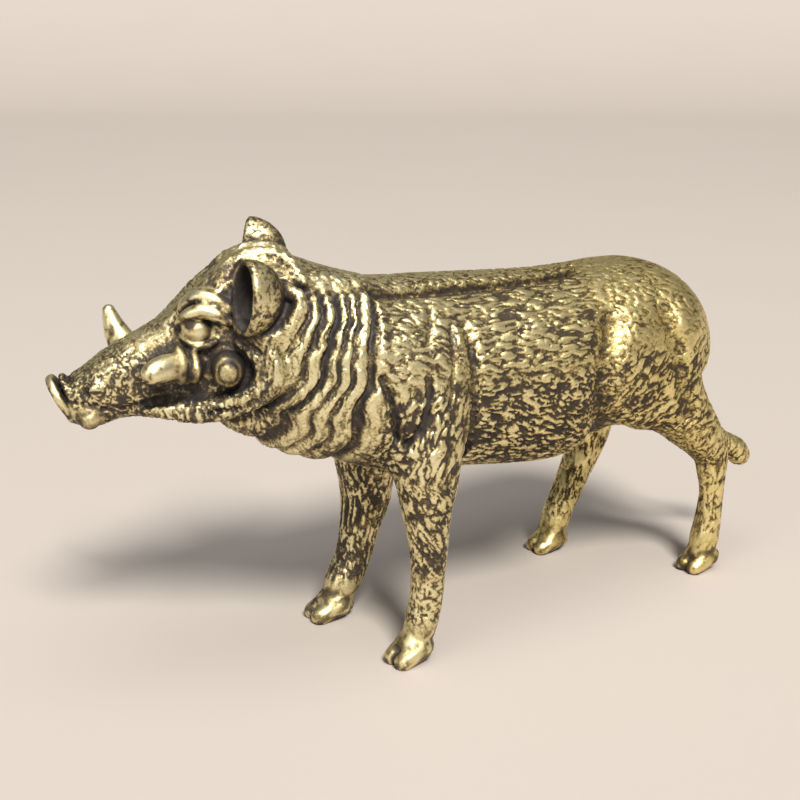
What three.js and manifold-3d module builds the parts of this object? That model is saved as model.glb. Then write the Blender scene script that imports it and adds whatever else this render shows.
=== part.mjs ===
// A small solid-cast brass wild boar (a warthog) standing on its four hooves.
// Millimetres, +Z up, the head towards -X, the animal's left side towards -Y,
// the soles on Z = 0 and the bounding box centred on X and Y.
//
// The whole animal is one casting, so it is one closed solid. Its form is a
// signed distance: lofted sections for the trunk, the head and the mane, round
// tubes for the legs, the tail, the tusks and the folds, and stretched balls
// for the eyes, the warts and the hooves. The surface is read from a grid and
// thinned, and the soles are cut flat.

import * as THREE from "three";
import { SimplifyModifier } from "three/addons/modifiers/SimplifyModifier.js";
import Module from "manifold-3d";

// Mesh fineness
const GRID_STEP = 0.28;
const BLOCK = 3;
const TARGET_TRIANGLES = 9200;
const SAMPLE_LOW = [-35.4, -8.6, -0.75];
const SAMPLE_HIGH = [25.2, 10.6, 32.1];
const BOX_MARGIN = 1.6;

// Brass, read from the photograph
const BRASS_COLOUR = 0xb09a58;
const BRASS_ROUGHNESS = 0.42;
const BRASS_METALNESS = 1.0;

// Trunk sections along X: x, underside, top, half width
const TRUNK = [
  [-22.0, 19.4, 26.6, 3.2],
  [-20.0, 16.9, 27.2, 4.2],
  [-18.0, 15.6, 27.2, 4.9],
  [-16.0, 14.7, 26.8, 5.4],
  [-13.0, 13.5, 26.4, 6.0],
  [-10.0, 12.9, 26.1, 6.2],
  [-6.0, 12.4, 25.8, 6.2],
  [-2.0, 11.8, 25.6, 6.6],
  [1.5, 11.5, 25.4, 6.9],
  [4.5, 12.0, 25.5, 6.8],
  [7.5, 13.2, 25.75, 6.5],
  [10.0, 14.2, 25.8, 6.2],
  [12.5, 14.6, 25.5, 6.0],
  [14.8, 14.6, 24.4, 5.5],
  [16.5, 14.8, 22.4, 4.5],
  [17.7, 15.6, 20.4, 3.0],
  [18.3, 16.8, 19.2, 1.2],
];
const TRUNK_POWER = 2.25;

// The neck curves to the head's side ahead of this X
const NECK_BEND_START = -14.0;
const NECK_BEND = 0.022;

// Head sections forward of the pivot: distance, underside, top, half width
const HEAD_PIVOT = [-16.0, 0.0];
const HEAD_TURN = 22.0;
const HEAD_START = -11.0;
const HEAD = [
  [-3.0, 15.4, 27.2, 4.4],
  [0.0, 14.9, 28.0, 4.9],
  [2.5, 15.2, 28.9, 4.7],
  [4.5, 16.0, 29.4, 4.2],
  [6.0, 16.9, 29.1, 3.6],
  [7.5, 17.6, 28.0, 3.15],
  [9.0, 18.1, 26.7, 2.75],
  [10.5, 18.4, 25.5, 2.5],
  [12.0, 18.6, 24.6, 2.35],
  [13.5, 18.6, 23.8, 2.25],
  [15.0, 18.4, 22.9, 2.0],
  [16.2, 18.6, 22.0, 1.7],
  [17.2, 19.2, 21.5, 1.4],
];
const HEAD_POWER = 2.2;

// Mane strip along the spine: x, underside, top, half width
const MANE = [
  [-21.8, 25.6, 29.2, 2.2],
  [-19.5, 25.2, 28.6, 2.5],
  [-16.0, 25.0, 27.5, 2.4],
  [-12.0, 25.0, 26.9, 2.1],
  [-8.0, 25.0, 26.6, 2.0],
  [-3.0, 25.0, 26.2, 1.9],
  [2.0, 24.8, 25.9, 1.5],
  [6.0, 24.8, 26.0, 0.8],
];
const MANE_POWER = 2.6;
const MANE_GROOVE = { gap: 0.15, depth: 0.28, width: 0.35 };

// Neck folds: grooves on arcs about a centre at the cheek, radius, depth, width
const FOLD_CENTRE = [-25.5, 26.0];
const FOLDS = [
  [5.60, 0.28, 0.18],
  [6.62, 0.36, 0.18],
  [7.66, 0.52, 0.24],
  [8.45, 0.34, 0.17],
  [9.17, 0.34, 0.17],
  [10.38, 0.58, 0.32],
];
// The folds draw together past a height: height, -1 below or 1 above it, and by how much a millimetre
const FOLD_SPREADS = [[23.0, -1, 0.2], [19.4, -1, 0.5], [24.6, 1, 0.5]];
const FOLD_WAVE = 0.09;

// Groove where the shoulder ends behind the foreleg
const SHOULDER_GROOVE = { x: -7.95, depth: 0.40, width: 0.42 };

// Creases and hollows down the sides: points x, z; depth; width
const SIDE_GROOVES = [
  { line: [[-15.1, 21.4], [-14.2, 19.25], [-13.7, 17.0]], depth: 0.45, width: 0.30 },
  { line: [[-11.8, 21.0], [-11.8, 19.7], [-12.35, 17.7], [-13.15, 16.6]], depth: 0.38, width: 0.28 },
  { line: [[-10.2, 25.0], [-11.5, 23.2]], depth: 0.20, width: 0.25 },
  { line: [[-9.3, 23.7], [-9.8, 21.3], [-10.5, 18.8]], depth: 0.22, width: 0.25 },
  { line: [[4.6, 22.1], [3.7, 20.1], [3.35, 18.0], [3.6, 16.0], [4.6, 14.0]], depth: 0.80, width: 1.25 },
  { line: [[9.9, 22.1], [10.6, 19.8], [11.3, 17.0], [12.4, 14.4]], depth: 0.45, width: 0.80 },
];

// Legs: centre line points x, y, z, radius, then the hoof under them
const NEAR_FORELEG = [
  [-10.6, -3.6, 18.5, 2.9], [-10.9, -4.2, 15.4, 2.6], [-10.9, -4.5, 13.3, 2.1],
  [-11.0, -4.6, 11.8, 1.8], [-10.9, -4.6, 10.2, 1.5], [-10.8, -4.6, 8.7, 1.3],
  [-10.8, -4.6, 7.2, 1.2], [-10.85, -4.6, 5.6, 1.1], [-11.0, -4.6, 4.2, 1.1],
  [-11.5, -4.6, 2.4, 1.15],
];
const FAR_FORELEG = [
  [-10.4, 3.6, 18.5, 2.9], [-10.2, 4.2, 14.0, 2.6], [-10.0, 4.6, 10.3, 2.0],
  [-10.1, 4.6, 8.7, 1.75], [-10.5, 4.6, 7.2, 1.5], [-10.9, 4.6, 5.6, 1.35],
  [-11.4, 4.6, 4.1, 1.3], [-12.3, 4.6, 2.5, 1.35],
];
const NEAR_HIND_LEG = [
  [11.6, -2.8, 20.0, 4.0], [11.6, -3.6, 17.2, 3.3], [13.2, -4.3, 14.4, 2.5],
  [15.3, -4.7, 12.1, 1.9], [16.9, -4.9, 10.0, 1.35], [17.1, -5.0, 8.4, 1.1],
  [17.3, -5.0, 6.6, 0.9], [17.2, -5.0, 5.2, 0.92], [17.0, -5.0, 3.5, 1.05],
  [16.7, -5.0, 2.2, 1.1],
];
const FAR_HIND_LEG = [
  [11.6, 2.8, 20.0, 4.0], [11.2, 3.8, 16.4, 3.1], [12.0, 4.5, 13.2, 2.3],
  [12.8, 4.8, 10.6, 1.7], [12.4, 4.9, 8.8, 1.45], [11.6, 5.0, 7.0, 1.3],
  [10.6, 5.0, 5.1, 1.2], [9.7, 5.0, 3.4, 1.15], [9.2, 5.0, 2.2, 1.15],
];
const THIGH_FRONT = [
  [7.2, 4.1, 15.8, 1.5], [9.5, 4.1, 15.0, 1.9], [12.0, 4.1, 14.9, 2.2],
];
const LEGS = [
  { line: NEAR_FORELEG, hoof: { x: -12.55, y: -4.6, turn: 5, length: 2.8, width: 2.7 } },
  { line: FAR_FORELEG, hoof: { x: -13.6, y: 4.6, turn: -5, length: 2.9, width: 2.8 } },
  { line: NEAR_HIND_LEG, thigh: -1, hoof: { x: 16.1, y: -5.0, turn: 3, length: 2.9, width: 2.6 } },
  { line: FAR_HIND_LEG, thigh: 1, hoof: { x: 8.4, y: 5.0, turn: -3, length: 2.8, width: 2.6 } },
];
const LEG_BLEND = 1.0;
const THIGH_BULGE = { centre: [7.9, 5.3, 17.8], radii: [1.8, 1.35, 3.6], blend: 0.9 };
const LEG_RING_BLEND = 0.35;

const TAIL = [
  [16.0, 0, 23.2, 0.8], [17.1, -0.3, 21.4, 0.9], [17.7, -0.8, 18.2, 0.85],
  [18.1, -1.4, 14.8, 0.75], [18.9, -2.0, 12.0, 0.65], [20.7, -2.4, 10.0, 0.65],
  [22.4, -2.6, 8.6, 1.0], [22.95, -2.7, 7.95, 0.95],
];

const clamp = (value, low, high) => Math.min(Math.max(value, low), high);
const ramp = (from, to, value) => clamp((value - from) / (to - from), 0, 1);

function joined(a, b, soft) {
  const h = clamp(0.5 + (0.5 * (b - a)) / soft, 0, 1);
  return b + (a - b) * h - soft * h * (1 - h);
}

function carved(a, b, soft) {
  return -joined(-a, b, soft);
}

function clipped(a, b, soft) {
  return -joined(-a, -b, soft);
}

// Points of a smooth curve through the given rows
function smoothRows(rows, steps) {
  const out = [];
  for (let i = 0; i + 1 < rows.length; i++) {
    const before = rows[Math.max(i - 1, 0)];
    const start = rows[i];
    const end = rows[i + 1];
    const after = rows[Math.min(i + 2, rows.length - 1)];
    for (let j = 0; j < steps; j++) {
      const u = j / steps;
      out.push(start.map((_, c) => 0.5 * (
        2 * start[c] + (end[c] - before[c]) * u
        + (2 * before[c] - 5 * start[c] + 4 * end[c] - after[c]) * u * u
        + (3 * start[c] - before[c] - 3 * end[c] + after[c]) * u * u * u)));
    }
  }
  out.push(rows[rows.length - 1]);
  return out;
}

// Section rows refined at uneven spacing, the first column staying even
function sectionRows(rows, steps) {
  const out = [];
  for (let i = 0; i + 1 < rows.length; i++) {
    const before = rows[Math.max(i - 1, 0)];
    const start = rows[i];
    const end = rows[i + 1];
    const after = rows[Math.min(i + 2, rows.length - 1)];
    const span = end[0] - start[0];
    for (let j = 0; j < steps; j++) {
      const u = j / steps;
      const row = start.map((_, c) => {
        const slopeIn = ((end[c] - before[c]) / (end[0] - before[0])) * span;
        const slopeOut = ((after[c] - start[c]) / (after[0] - start[0])) * span;
        return (2 * u ** 3 - 3 * u ** 2 + 1) * start[c] + (u ** 3 - 2 * u ** 2 + u) * slopeIn
          + (3 * u ** 2 - 2 * u ** 3) * end[c] + (u ** 3 - u ** 2) * slopeOut;
      });
      row[0] = start[0] + u * span;
      out.push(row);
    }
  }
  out.push(rows[rows.length - 1]);
  return out;
}

function readRows(rows, at) {
  const last = rows.length - 1;
  if (at <= rows[0][0]) return rows[0];
  if (at >= rows[last][0]) return rows[last];
  let i = 1;
  while (rows[i][0] < at) i++;
  const u = (at - rows[i - 1][0]) / (rows[i][0] - rows[i - 1][0]);
  return rows[i].map((value, c) => rows[i - 1][c] + (value - rows[i - 1][c]) * u);
}

const CAP_SOFT = 0.8;

// Distance to a body of rounded sections along one axis
function loft(rows, power, along, side, z) {
  const [, low, high, half] = readRows(rows, along);
  const tall = (high - low) / 2;
  const p = Math.abs(side) / half;
  const q = Math.abs(z - (low + high) / 2) / tall;
  const r = (p ** power + q ** power) ** (1 / power) + 1e-9;
  const gp = (p / r) ** (power - 1) / half;
  const gq = (q / r) ** (power - 1) / tall;
  const body = (r - 1) / Math.sqrt(gp * gp + gq * gq + 1e-12);
  const end = Math.max(rows[0][0] - along, along - rows[rows.length - 1][0]);
  return clipped(body, end, CAP_SOFT);
}

// Each shape is its distance with the box that holds it
function tube(points, steps = 3, soft = 0) {
  const rows = smoothRows(points, steps);
  const low = [0, 1, 2].map((c) => Math.min(...rows.map((row) => row[c] - row[3])));
  const high = [0, 1, 2].map((c) => Math.max(...rows.map((row) => row[c] + row[3])));
  const distance = (x, y, z) => {
    let best = Infinity;
    for (let i = 0; i + 1 < rows.length; i++) {
      const [ax, ay, az, ar] = rows[i];
      const [bx, by, bz, br] = rows[i + 1];
      const ux = bx - ax;
      const uy = by - ay;
      const uz = bz - az;
      const t = clamp(((x - ax) * ux + (y - ay) * uy + (z - az) * uz) / (ux * ux + uy * uy + uz * uz), 0, 1);
      const dx = x - ax - t * ux;
      const dy = y - ay - t * uy;
      const dz = z - az - t * uz;
      const d = Math.sqrt(dx * dx + dy * dy + dz * dz) - ar - (br - ar) * t;
      best = soft > 0 && best < Infinity ? joined(best, d, soft) : Math.min(best, d);
    }
    return best;
  };
  return { distance, low, high };
}

function ball(centre, radii) {
  const distance = (x, y, z) => {
    const a = (x - centre[0]) / radii[0];
    const b = (y - centre[1]) / radii[1];
    const c = (z - centre[2]) / radii[2];
    const k0 = Math.sqrt(a * a + b * b + c * c) + 1e-9;
    const k1 = Math.hypot(a / radii[0], b / radii[1], c / radii[2]) + 1e-9;
    return (k0 * (k0 - 1)) / k1;
  };
  return { distance, low: centre.map((v, i) => v - radii[i]), high: centre.map((v, i) => v + radii[i]) };
}

// A closed ring standing lengthwise, used for the groove round a wart
function ring(centre, radii, thickness, sides = 14) {
  const points = [];
  for (let i = 0; i <= sides; i++) {
    const angle = (2 * Math.PI * i) / sides;
    points.push([centre[0] + radii[0] * Math.cos(angle), centre[1],
      centre[2] + radii[1] * Math.sin(angle), thickness]);
  }
  return tube(points, 1);
}

// A flat disc facing forward and tipped down
function disc(centre, downDegrees, radius, half, soft) {
  const tip = THREE.MathUtils.degToRad(downDegrees);
  const distance = (x, y, z) => {
    const ahead = (x - centre[0]) * Math.cos(tip) - (z - centre[2]) * Math.sin(tip);
    const up = (x - centre[0]) * Math.sin(tip) + (z - centre[2]) * Math.cos(tip);
    return clipped(Math.hypot(y - centre[1], up) - radius, Math.abs(ahead) - half, soft);
  };
  const reach = radius + half;
  return { distance, low: centre.map((v) => v - reach), high: centre.map((v) => v + reach) };
}

// An egg turned to face one way
function egg(centre, facing, radii) {
  const front = new THREE.Vector3(...facing).normalize();
  const up = new THREE.Vector3(0.1, 0, 1);
  up.addScaledVector(front, -up.dot(front)).normalize();
  const side = new THREE.Vector3().crossVectors(up, front);
  const v = new THREE.Vector3();
  const distance = (x, y, z) => {
    v.set(x - centre[0], y - centre[1], z - centre[2]);
    return (Math.hypot(v.dot(front) / radii[0], v.dot(side) / radii[1], v.dot(up) / radii[2]) - 1) * radii[1];
  };
  const ahead = (x, y, z) => v.set(x - centre[0], y - centre[1], z - centre[2]).dot(front);
  const above = (x, y, z) => v.set(x - centre[0], y - centre[1], z - centre[2]).dot(up);
  const reach = Math.max(...radii);
  return { distance, ahead, above, low: centre.map((c) => c - reach), high: centre.map((c) => c + reach) };
}

const EAR_LIP = 0.25;
const EAR_LEAN = 0.1;

// A cup open along its facing direction: half an egg with an egg-shaped hollow
function ear(centre, facing, outer, inner) {
  const shell = egg(centre, facing, outer);
  const hollow = egg(centre, facing, inner);
  const distance = (x, y, z) => {
    const open = shell.ahead(x, y, z) - EAR_LIP + EAR_LEAN * shell.above(x, y, z);
    return carved(clipped(shell.distance(x, y, z), open, 0.25), hollow.distance(x, y, z), 0.2);
  };
  return { distance, low: shell.low, high: shell.high };
}

// A cloven hoof with two dewclaws behind it
function hoof({ x, y, turn, length, width }) {
  const angle = THREE.MathUtils.degToRad(turn);
  const w = width / 2;
  const claw = tube([[-0.25 * length, 0.45 * w, 1.1, 0.62 * w], [0.3 * length, 0.42 * w, 0.5, 0.5 * w]], 1);
  const crown = ball([-0.15 * length, 0, 1.35], [0.4 * length, 0.86 * w, 0.95]);
  const dewclaw = ball([-0.5 * length, 0.42 * w, 1.0], [0.5, 0.42, 0.62]);
  const distance = (px, py, pz) => {
    const dx = px - x;
    const dy = py - y;
    const toe = -(dx * Math.cos(angle) + dy * Math.sin(angle));
    const side = Math.abs(dy * Math.cos(angle) - dx * Math.sin(angle));
    const foot = joined(claw.distance(toe, side, pz), crown.distance(toe, side, pz), 0.25);
    return joined(foot, dewclaw.distance(toe, side, pz), 0.15);
  };
  return { distance, low: [x - length, y - width, -1], high: [x + length, y + width, 3] };
}

const ADD = 1;
const CUT = -1;
const one = (sign, shape, soft) => ({ sign, shape, soft, paired: false });
const pair = (sign, shape, soft) => ({ sign, shape, soft, paired: true });

// Head details in head coordinates: forward of the pivot, sideways, up
const SNOUT = [
  one(ADD, disc([17.45, 0, 20.15], 28, 1.65, 0.28, 0.2), 0.15),
  one(ADD, disc([16.75, 0, 20.3], 28, 1.56, 0.2, 0.15), 0.2),
  one(ADD, ball([15.7, 0, 19.1], [1.5, 1.7, 0.95]), 0.5),
  pair(ADD, ball([15.75, -1.35, 19.0], [0.75, 0.75, 0.75]), 0.15),
  pair(ADD, ball([15.2, -1.65, 21.0], [0.62, 0.55, 0.7]), 0.15),
  pair(CUT, ball([15.95, -1.9, 20.75], [0.3, 0.35, 0.4]), 0.12),
  pair(CUT, ball([17.85, -0.6, 20.1], [0.28, 0.26, 0.34]), 0.12),
];
const CHEEKS = [
  pair(CUT, ball([10.9, -3.7, 23.9], [1.7, 1.1, 0.8]), 0.6),
  pair(ADD, tube([[10.4, -1.1, 24.9, 0.4], [9.3, -1.2, 26.0, 0.5], [8.2, -1.4, 27.0, 0.55],
    [6.8, -1.7, 27.9, 0.6]]), 0.6),
  pair(ADD, tube([[12.2, -1.7, 19.5, 0.55], [11.0, -2.1, 19.5, 0.65], [9.5, -2.45, 19.45, 0.85],
    [7.9, -2.95, 19.6, 0.9], [6.2, -3.6, 20.2, 0.85], [4.8, -4.2, 20.9, 0.8], [3.9, -4.5, 22.1, 0.7],
    [4.3, -4.4, 23.4, 0.6]]), 0.45),
  pair(ADD, tube([[6.2, -3.9, 24.2, 0.35], [5.2, -4.2, 23.1, 0.4], [5.0, -4.3, 22.0, 0.4],
    [5.7, -4.1, 21.0, 0.4], [7.0, -3.7, 20.6, 0.35]]), 0.2),
  pair(CUT, tube([[4.9, -4.75, 24.0, 0.12], [4.4, -5.05, 22.3, 0.18], [4.85, -5.0, 20.9, 0.18],
    [6.3, -4.4, 19.95, 0.15], [8.2, -3.6, 19.6, 0.12]]), 0.1),
  pair(CUT, tube([[3.5, -4.9, 24.2, 0.12], [3.2, -5.3, 22.3, 0.2], [3.9, -5.2, 20.5, 0.2],
    [5.4, -4.4, 19.2, 0.15]]), 0.1),
];
const MOUTH = [
  pair(CUT, tube([[16.6, -1.6, 20.1, 0.16], [15.3, -1.9, 19.8, 0.2], [13.8, -2.0, 19.6, 0.22],
    [12.2, -2.2, 19.95, 0.26], [10.7, -2.4, 20.3, 0.3], [9.6, -2.7, 20.6, 0.25]]), 0.12),
  pair(CUT, ball([11.2, -2.8, 21.1], [1.9, 0.8, 0.65]), 0.3),
  pair(ADD, ball([9.6, -2.7, 22.5], [1.3, 1.1, 1.2]), 0.3),
];
const NEAR_TUSK = one(ADD, tube([[10.0, -3.2, 22.6, 0.8], [10.6, -3.75, 22.75, 0.86],
  [11.2, -4.2, 22.75, 0.82], [11.7, -4.6, 22.65, 0.7]]), 0.1);
const FAR_TUSK = one(ADD, tube([[11.6, 2.2, 21.8, 1.2], [12.9, 3.2, 22.2, 1.1],
  [13.7, 3.8, 23.3, 0.85], [14.15, 4.0, 24.8, 0.45]]), 0.15);
const LIP_FOLDS = [
  pair(ADD, tube([[10.0, -3.2, 23.7, 0.35], [9.85, -3.95, 22.9, 0.5], [9.9, -3.6, 21.9, 0.38]]), 0.08),
  pair(ADD, tube([[9.05, -3.3, 23.4, 0.3], [8.95, -3.95, 22.6, 0.42], [9.05, -3.5, 21.8, 0.3]]), 0.08),
];
const WARTS = [
  pair(CUT, ring([6.95, -3.85, 22.4], [1.28, 1.42], 0.28), 0.12),
  pair(ADD, ball([6.95, -3.7, 22.4], [1.05, 1.3, 1.18]), 0.06),
];

// The upper eyelid of the near side
const LID = [
  [9.9, -2.3, 25.2, 0.22], [9.3, -2.75, 25.8, 0.4], [8.4, -3.05, 26.1, 0.5],
  [7.5, -3.25, 25.85, 0.48], [6.7, -3.35, 25.3, 0.3],
];
// The far eyelid is set in, lower and slimmer
const FAR_LID = LID.map(([x, y, z, r]) => [x, -(y + 0.35), z - 0.2, r - 0.12]);
const EYES = [
  one(ADD, tube([[9.4, -1.8, 26.2, 0.3], [8.6, -2.2, 26.8, 0.5], [7.6, -2.7, 26.7, 0.5],
    [6.8, -3.0, 26.1, 0.35]]), 0.6),
  pair(CUT, ball([8.75, -3.4, 24.85], [1.35, 0.85, 1.0]), 0.08),
  pair(ADD, ball([8.7, -2.35, 24.8], [1.0, 0.98, 1.0]), 0.05),
  one(ADD, tube(LID), 0.08),
  one(ADD, tube(FAR_LID), 0.2),
  pair(ADD, tube([[9.8, -2.3, 24.4, 0.16], [9.2, -2.9, 23.95, 0.24], [8.4, -3.1, 23.8, 0.26],
    [7.6, -3.2, 24.1, 0.2]]), 0.12),
];

const EARS = [
  pair(ADD, tube([[3.2, -3.6, 27.4, 0.45], [2.35, -3.9, 26.8, 0.55], [2.5, -4.1, 25.8, 0.6],
    [3.4, -4.2, 24.7, 0.6], [4.8, -4.2, 24.3, 0.6], [6.1, -4.0, 25.2, 0.45]]), 0.25),
  pair(ADD, tube([[7.1, -2.3, 27.2, 0.4], [6.6, -1.6, 28.4, 0.5], [5.3, -1.1, 29.1, 0.5],
    [3.9, -1.1, 29.2, 0.5], [2.7, -1.6, 28.7, 0.5], [2.0, -2.8, 27.6, 0.45]]), 0.3),
  one(ADD, ear([5.75, -4.55, 27.1], [0.92, -0.39, 0], [2.6, 1.6, 2.45], [2.25, 1.14, 2.0]), 0.25),
  one(ADD, ball([5.1, 4.0, 25.8], [0.9, 0.8, 0.9]), 0.3),
  one(ADD, ear([4.6, 4.6, 28.2], [0.95, 0.3, 0], [2.7, 1.6, 2.6], [2.1, 1.15, 2.1]), 0.4),
];
const HEAD_DETAILS = [
  ...SNOUT, ...CHEEKS, ...MOUTH, NEAR_TUSK, FAR_TUSK, ...LIP_FOLDS, ...WARTS, ...EYES, ...EARS,
];

const trunkRows = sectionRows(TRUNK, 8);
const headRows = sectionRows(HEAD, 8);
const maneRows = sectionRows(MANE, 8);
const tailShape = tube(TAIL, 3);
const thighBulge = ball(THIGH_BULGE.centre, THIGH_BULGE.radii);
const legShapes = LEGS.map(({ line, thigh, hoof: foot }) => ({
  leg: tube(line, 2, LEG_RING_BLEND),
  foot: hoof(foot),
  thigh: thigh ? tube(THIGH_FRONT.map(([x, y, z, r]) => [x, thigh * y, z, r]), 2) : null,
}));
const turnCos = Math.cos(THREE.MathUtils.degToRad(HEAD_TURN));
const turnSin = Math.sin(THREE.MathUtils.degToRad(HEAD_TURN));

function isNear(shape, x, y, z) {
  return x > shape.low[0] - BOX_MARGIN && x < shape.high[0] + BOX_MARGIN
    && y > shape.low[1] - BOX_MARGIN && y < shape.high[1] + BOX_MARGIN
    && z > shape.low[2] - BOX_MARGIN && z < shape.high[2] + BOX_MARGIN;
}

function withShape(d, sign, shape, soft, x, y, z) {
  if (!isNear(shape, x, y, z)) return d;
  const other = shape.distance(x, y, z);
  return sign > 0 ? joined(d, other, soft) : carved(d, other, soft);
}

function foldRadius(x, z) {
  let radius = Math.hypot(x - FOLD_CENTRE[0], z - FOLD_CENTRE[1]);
  for (const [start, side, spread] of FOLD_SPREADS) radius -= spread * Math.max(side * (z - start), 0);
  return radius + FOLD_WAVE * (Math.sin(1.7 * z) + 0.6 * Math.sin(3.1 * z + x));
}

function neckFolds(x, z, aside) {
  const radius = foldRadius(x, z);
  let depth = 0;
  for (const [at, deep, width] of FOLDS) depth += deep * Math.exp(-(((radius - at) / width) ** 2));
  const onMane = ramp(25.0, 25.8, z) * (1 - ramp(2.2, 3.0, aside));
  return depth * ramp(12.5, 14.5, z) * (1 - onMane) * ramp(-27.0, -25.5, x);
}

// Distance in the side plane to a chain of points
function lineDistance(line, x, z) {
  let best = Infinity;
  for (let i = 0; i + 1 < line.length; i++) {
    const [ax, az] = line[i];
    const wx = line[i + 1][0] - ax;
    const wz = line[i + 1][1] - az;
    const t = clamp(((x - ax) * wx + (z - az) * wz) / (wx * wx + wz * wz), 0, 1);
    best = Math.min(best, Math.hypot(x - ax - t * wx, z - az - t * wz));
  }
  return best;
}

function bodyGrooves(x, z, aside, maneHalf) {
  const { x: at, depth, width } = SHOULDER_GROOVE;
  let total = depth * Math.exp(-(((x - at) / width) ** 2)) * (1 - ramp(22.5, 25.0, z)) * ramp(13.5, 15.0, z);
  total += MANE_GROOVE.depth * Math.exp(-(((aside - maneHalf - MANE_GROOVE.gap) / MANE_GROOVE.width) ** 2))
    * ramp(24.5, 25.5, z) * (1 - ramp(4.5, 8.0, x)) * ramp(-21.0, -19.5, x);
  for (const groove of SIDE_GROOVES) {
    total += groove.depth * Math.exp(-((lineDistance(groove.line, x, z) / groove.width) ** 2));
  }
  return total;
}

function field(x, y, z) {
  const bend = Math.max(NECK_BEND_START - x, 0);
  const middle = y - NECK_BEND * bend * bend;
  let d = loft(trunkRows, TRUNK_POWER, x, middle, z);
  const dx = x - HEAD_PIVOT[0];
  const dy = y - HEAD_PIVOT[1];
  const forward = -turnCos * dx + turnSin * dy;
  const lateral = turnSin * dx + turnCos * dy;
  const fore = x < HEAD_START;
  if (fore) d = joined(d, loft(headRows, HEAD_POWER, forward, lateral, z), 0.8);
  for (const { leg, foot, thigh } of legShapes) {
    const hold = { low: leg.low.map((v, i) => Math.min(v, foot.low[i])),
      high: leg.high.map((v, i) => Math.max(v, foot.high[i])) };
    if (!isNear(hold, x, y, z)) continue;
    let limb = leg.distance(x, y, z);
    if (thigh) limb = joined(limb, thigh.distance(x, y, z), 0.8);
    limb = withShape(limb, ADD, foot, 0.35, x, y, z);
    d = joined(d, limb, LEG_BLEND);
  }
  d = withShape(d, ADD, thighBulge, THIGH_BULGE.blend, x, Math.abs(y), z);
  const aside = Math.abs(middle);
  d += neckFolds(x, z, aside) + bodyGrooves(x, z, aside, readRows(maneRows, x)[3]);
  d = joined(d, loft(maneRows, MANE_POWER, x, middle, z), 0.15);
  if (fore) {
    for (const { sign, shape, soft, paired } of HEAD_DETAILS) {
      d = withShape(d, sign, shape, soft, forward, paired ? -Math.abs(lateral) : lateral, z);
    }
  }
  return withShape(d, ADD, tailShape, 0.3, x, y, z);
}

// Distances on the grid, worked out in full only in blocks near the surface
function sampleField() {
  const count = SAMPLE_LOW.map((low, i) => Math.ceil((SAMPLE_HIGH[i] - low) / (GRID_STEP * BLOCK)));
  const size = count.map((n) => n * BLOCK + 1);
  const values = new Float32Array(size[0] * size[1] * size[2]);
  const index = (i, j, k) => (i * size[1] + j) * size[2] + k;
  const at = (i, j, k) => field(SAMPLE_LOW[0] + i * GRID_STEP, SAMPLE_LOW[1] + j * GRID_STEP,
    SAMPLE_LOW[2] + k * GRID_STEP);
  const coarseIndex = (i, j, k) => (i * (count[1] + 1) + j) * (count[2] + 1) + k;
  const coarse = new Float32Array((count[0] + 1) * (count[1] + 1) * (count[2] + 1));
  for (let i = 0; i <= count[0]; i++) {
    for (let j = 0; j <= count[1]; j++) {
      for (let k = 0; k <= count[2]; k++) coarse[coarseIndex(i, j, k)] = at(i * BLOCK, j * BLOCK, k * BLOCK);
    }
  }
  const reach = GRID_STEP * BLOCK * 1.2;
  for (let i = 0; i < count[0]; i++) {
    for (let j = 0; j < count[1]; j++) {
      for (let k = 0; k < count[2]; k++) {
        let low = Infinity;
        let high = -Infinity;
        for (let corner = 0; corner < 8; corner++) {
          const v = coarse[coarseIndex(i + (corner & 1), j + ((corner >> 1) & 1), k + (corner >> 2))];
          low = Math.min(low, v);
          high = Math.max(high, v);
        }
        const exact = low < reach && high > -reach;
        fillBlock(values, index, at, [i, j, k], exact ? null : coarse[coarseIndex(i, j, k)]);
      }
    }
  }
  return { values, size, index };
}

function fillBlock(values, index, at, block, constant) {
  for (let a = 0; a <= BLOCK; a++) {
    for (let b = 0; b <= BLOCK; b++) {
      for (let c = 0; c <= BLOCK; c++) {
        const i = block[0] * BLOCK + a;
        const j = block[1] * BLOCK + b;
        const k = block[2] * BLOCK + c;
        const slot = index(i, j, k);
        if (constant === null) values[slot] = at(i, j, k);
        else if (values[slot] === 0) values[slot] = constant;
      }
    }
  }
}

// Each grid cube is six tetrahedra about its long diagonal, so the surface
// that comes out of them is always one closed skin
const TETRAHEDRA = [[0, 1, 3, 7], [0, 3, 2, 7], [0, 2, 6, 7], [0, 6, 4, 7], [0, 4, 5, 7], [0, 5, 1, 7]];
const ONE_APART = [[0, 1, 2, 3], [1, 0, 3, 2], [2, 0, 1, 3], [3, 0, 2, 1]];
const TWO_APART = [
  [0, 1, 2, 3], [0, 2, 3, 1], [0, 3, 1, 2], [1, 2, 0, 3], [1, 3, 2, 0], [2, 3, 0, 1],
];
const NODE_CLEARANCE = 0.06;

// Triangles of the surface inside one tetrahedron, as pairs of its corners
function tetrahedronFaces(inside) {
  const count = inside.filter(Boolean).length;
  if (count === 0 || count === 4) return [];
  if (count === 2) {
    const [a, b, c, d] = TWO_APART.find(([p, q]) => inside[p] && inside[q]);
    return [[[a, c], [a, d], [b, d]], [[a, c], [b, d], [b, c]]];
  }
  const alone = count === 1;
  const [a, b, c, d] = ONE_APART.find(([p]) => inside[p] === alone);
  const face = [[a, b], [a, c], [a, d]];
  return [alone ? face : face.reverse()];
}

const FACES_BY_MASK = Array.from({ length: 16 }, (_, mask) => (
  tetrahedronFaces([0, 1, 2, 3].map((bit) => Boolean(mask & (1 << bit))))));

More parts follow.
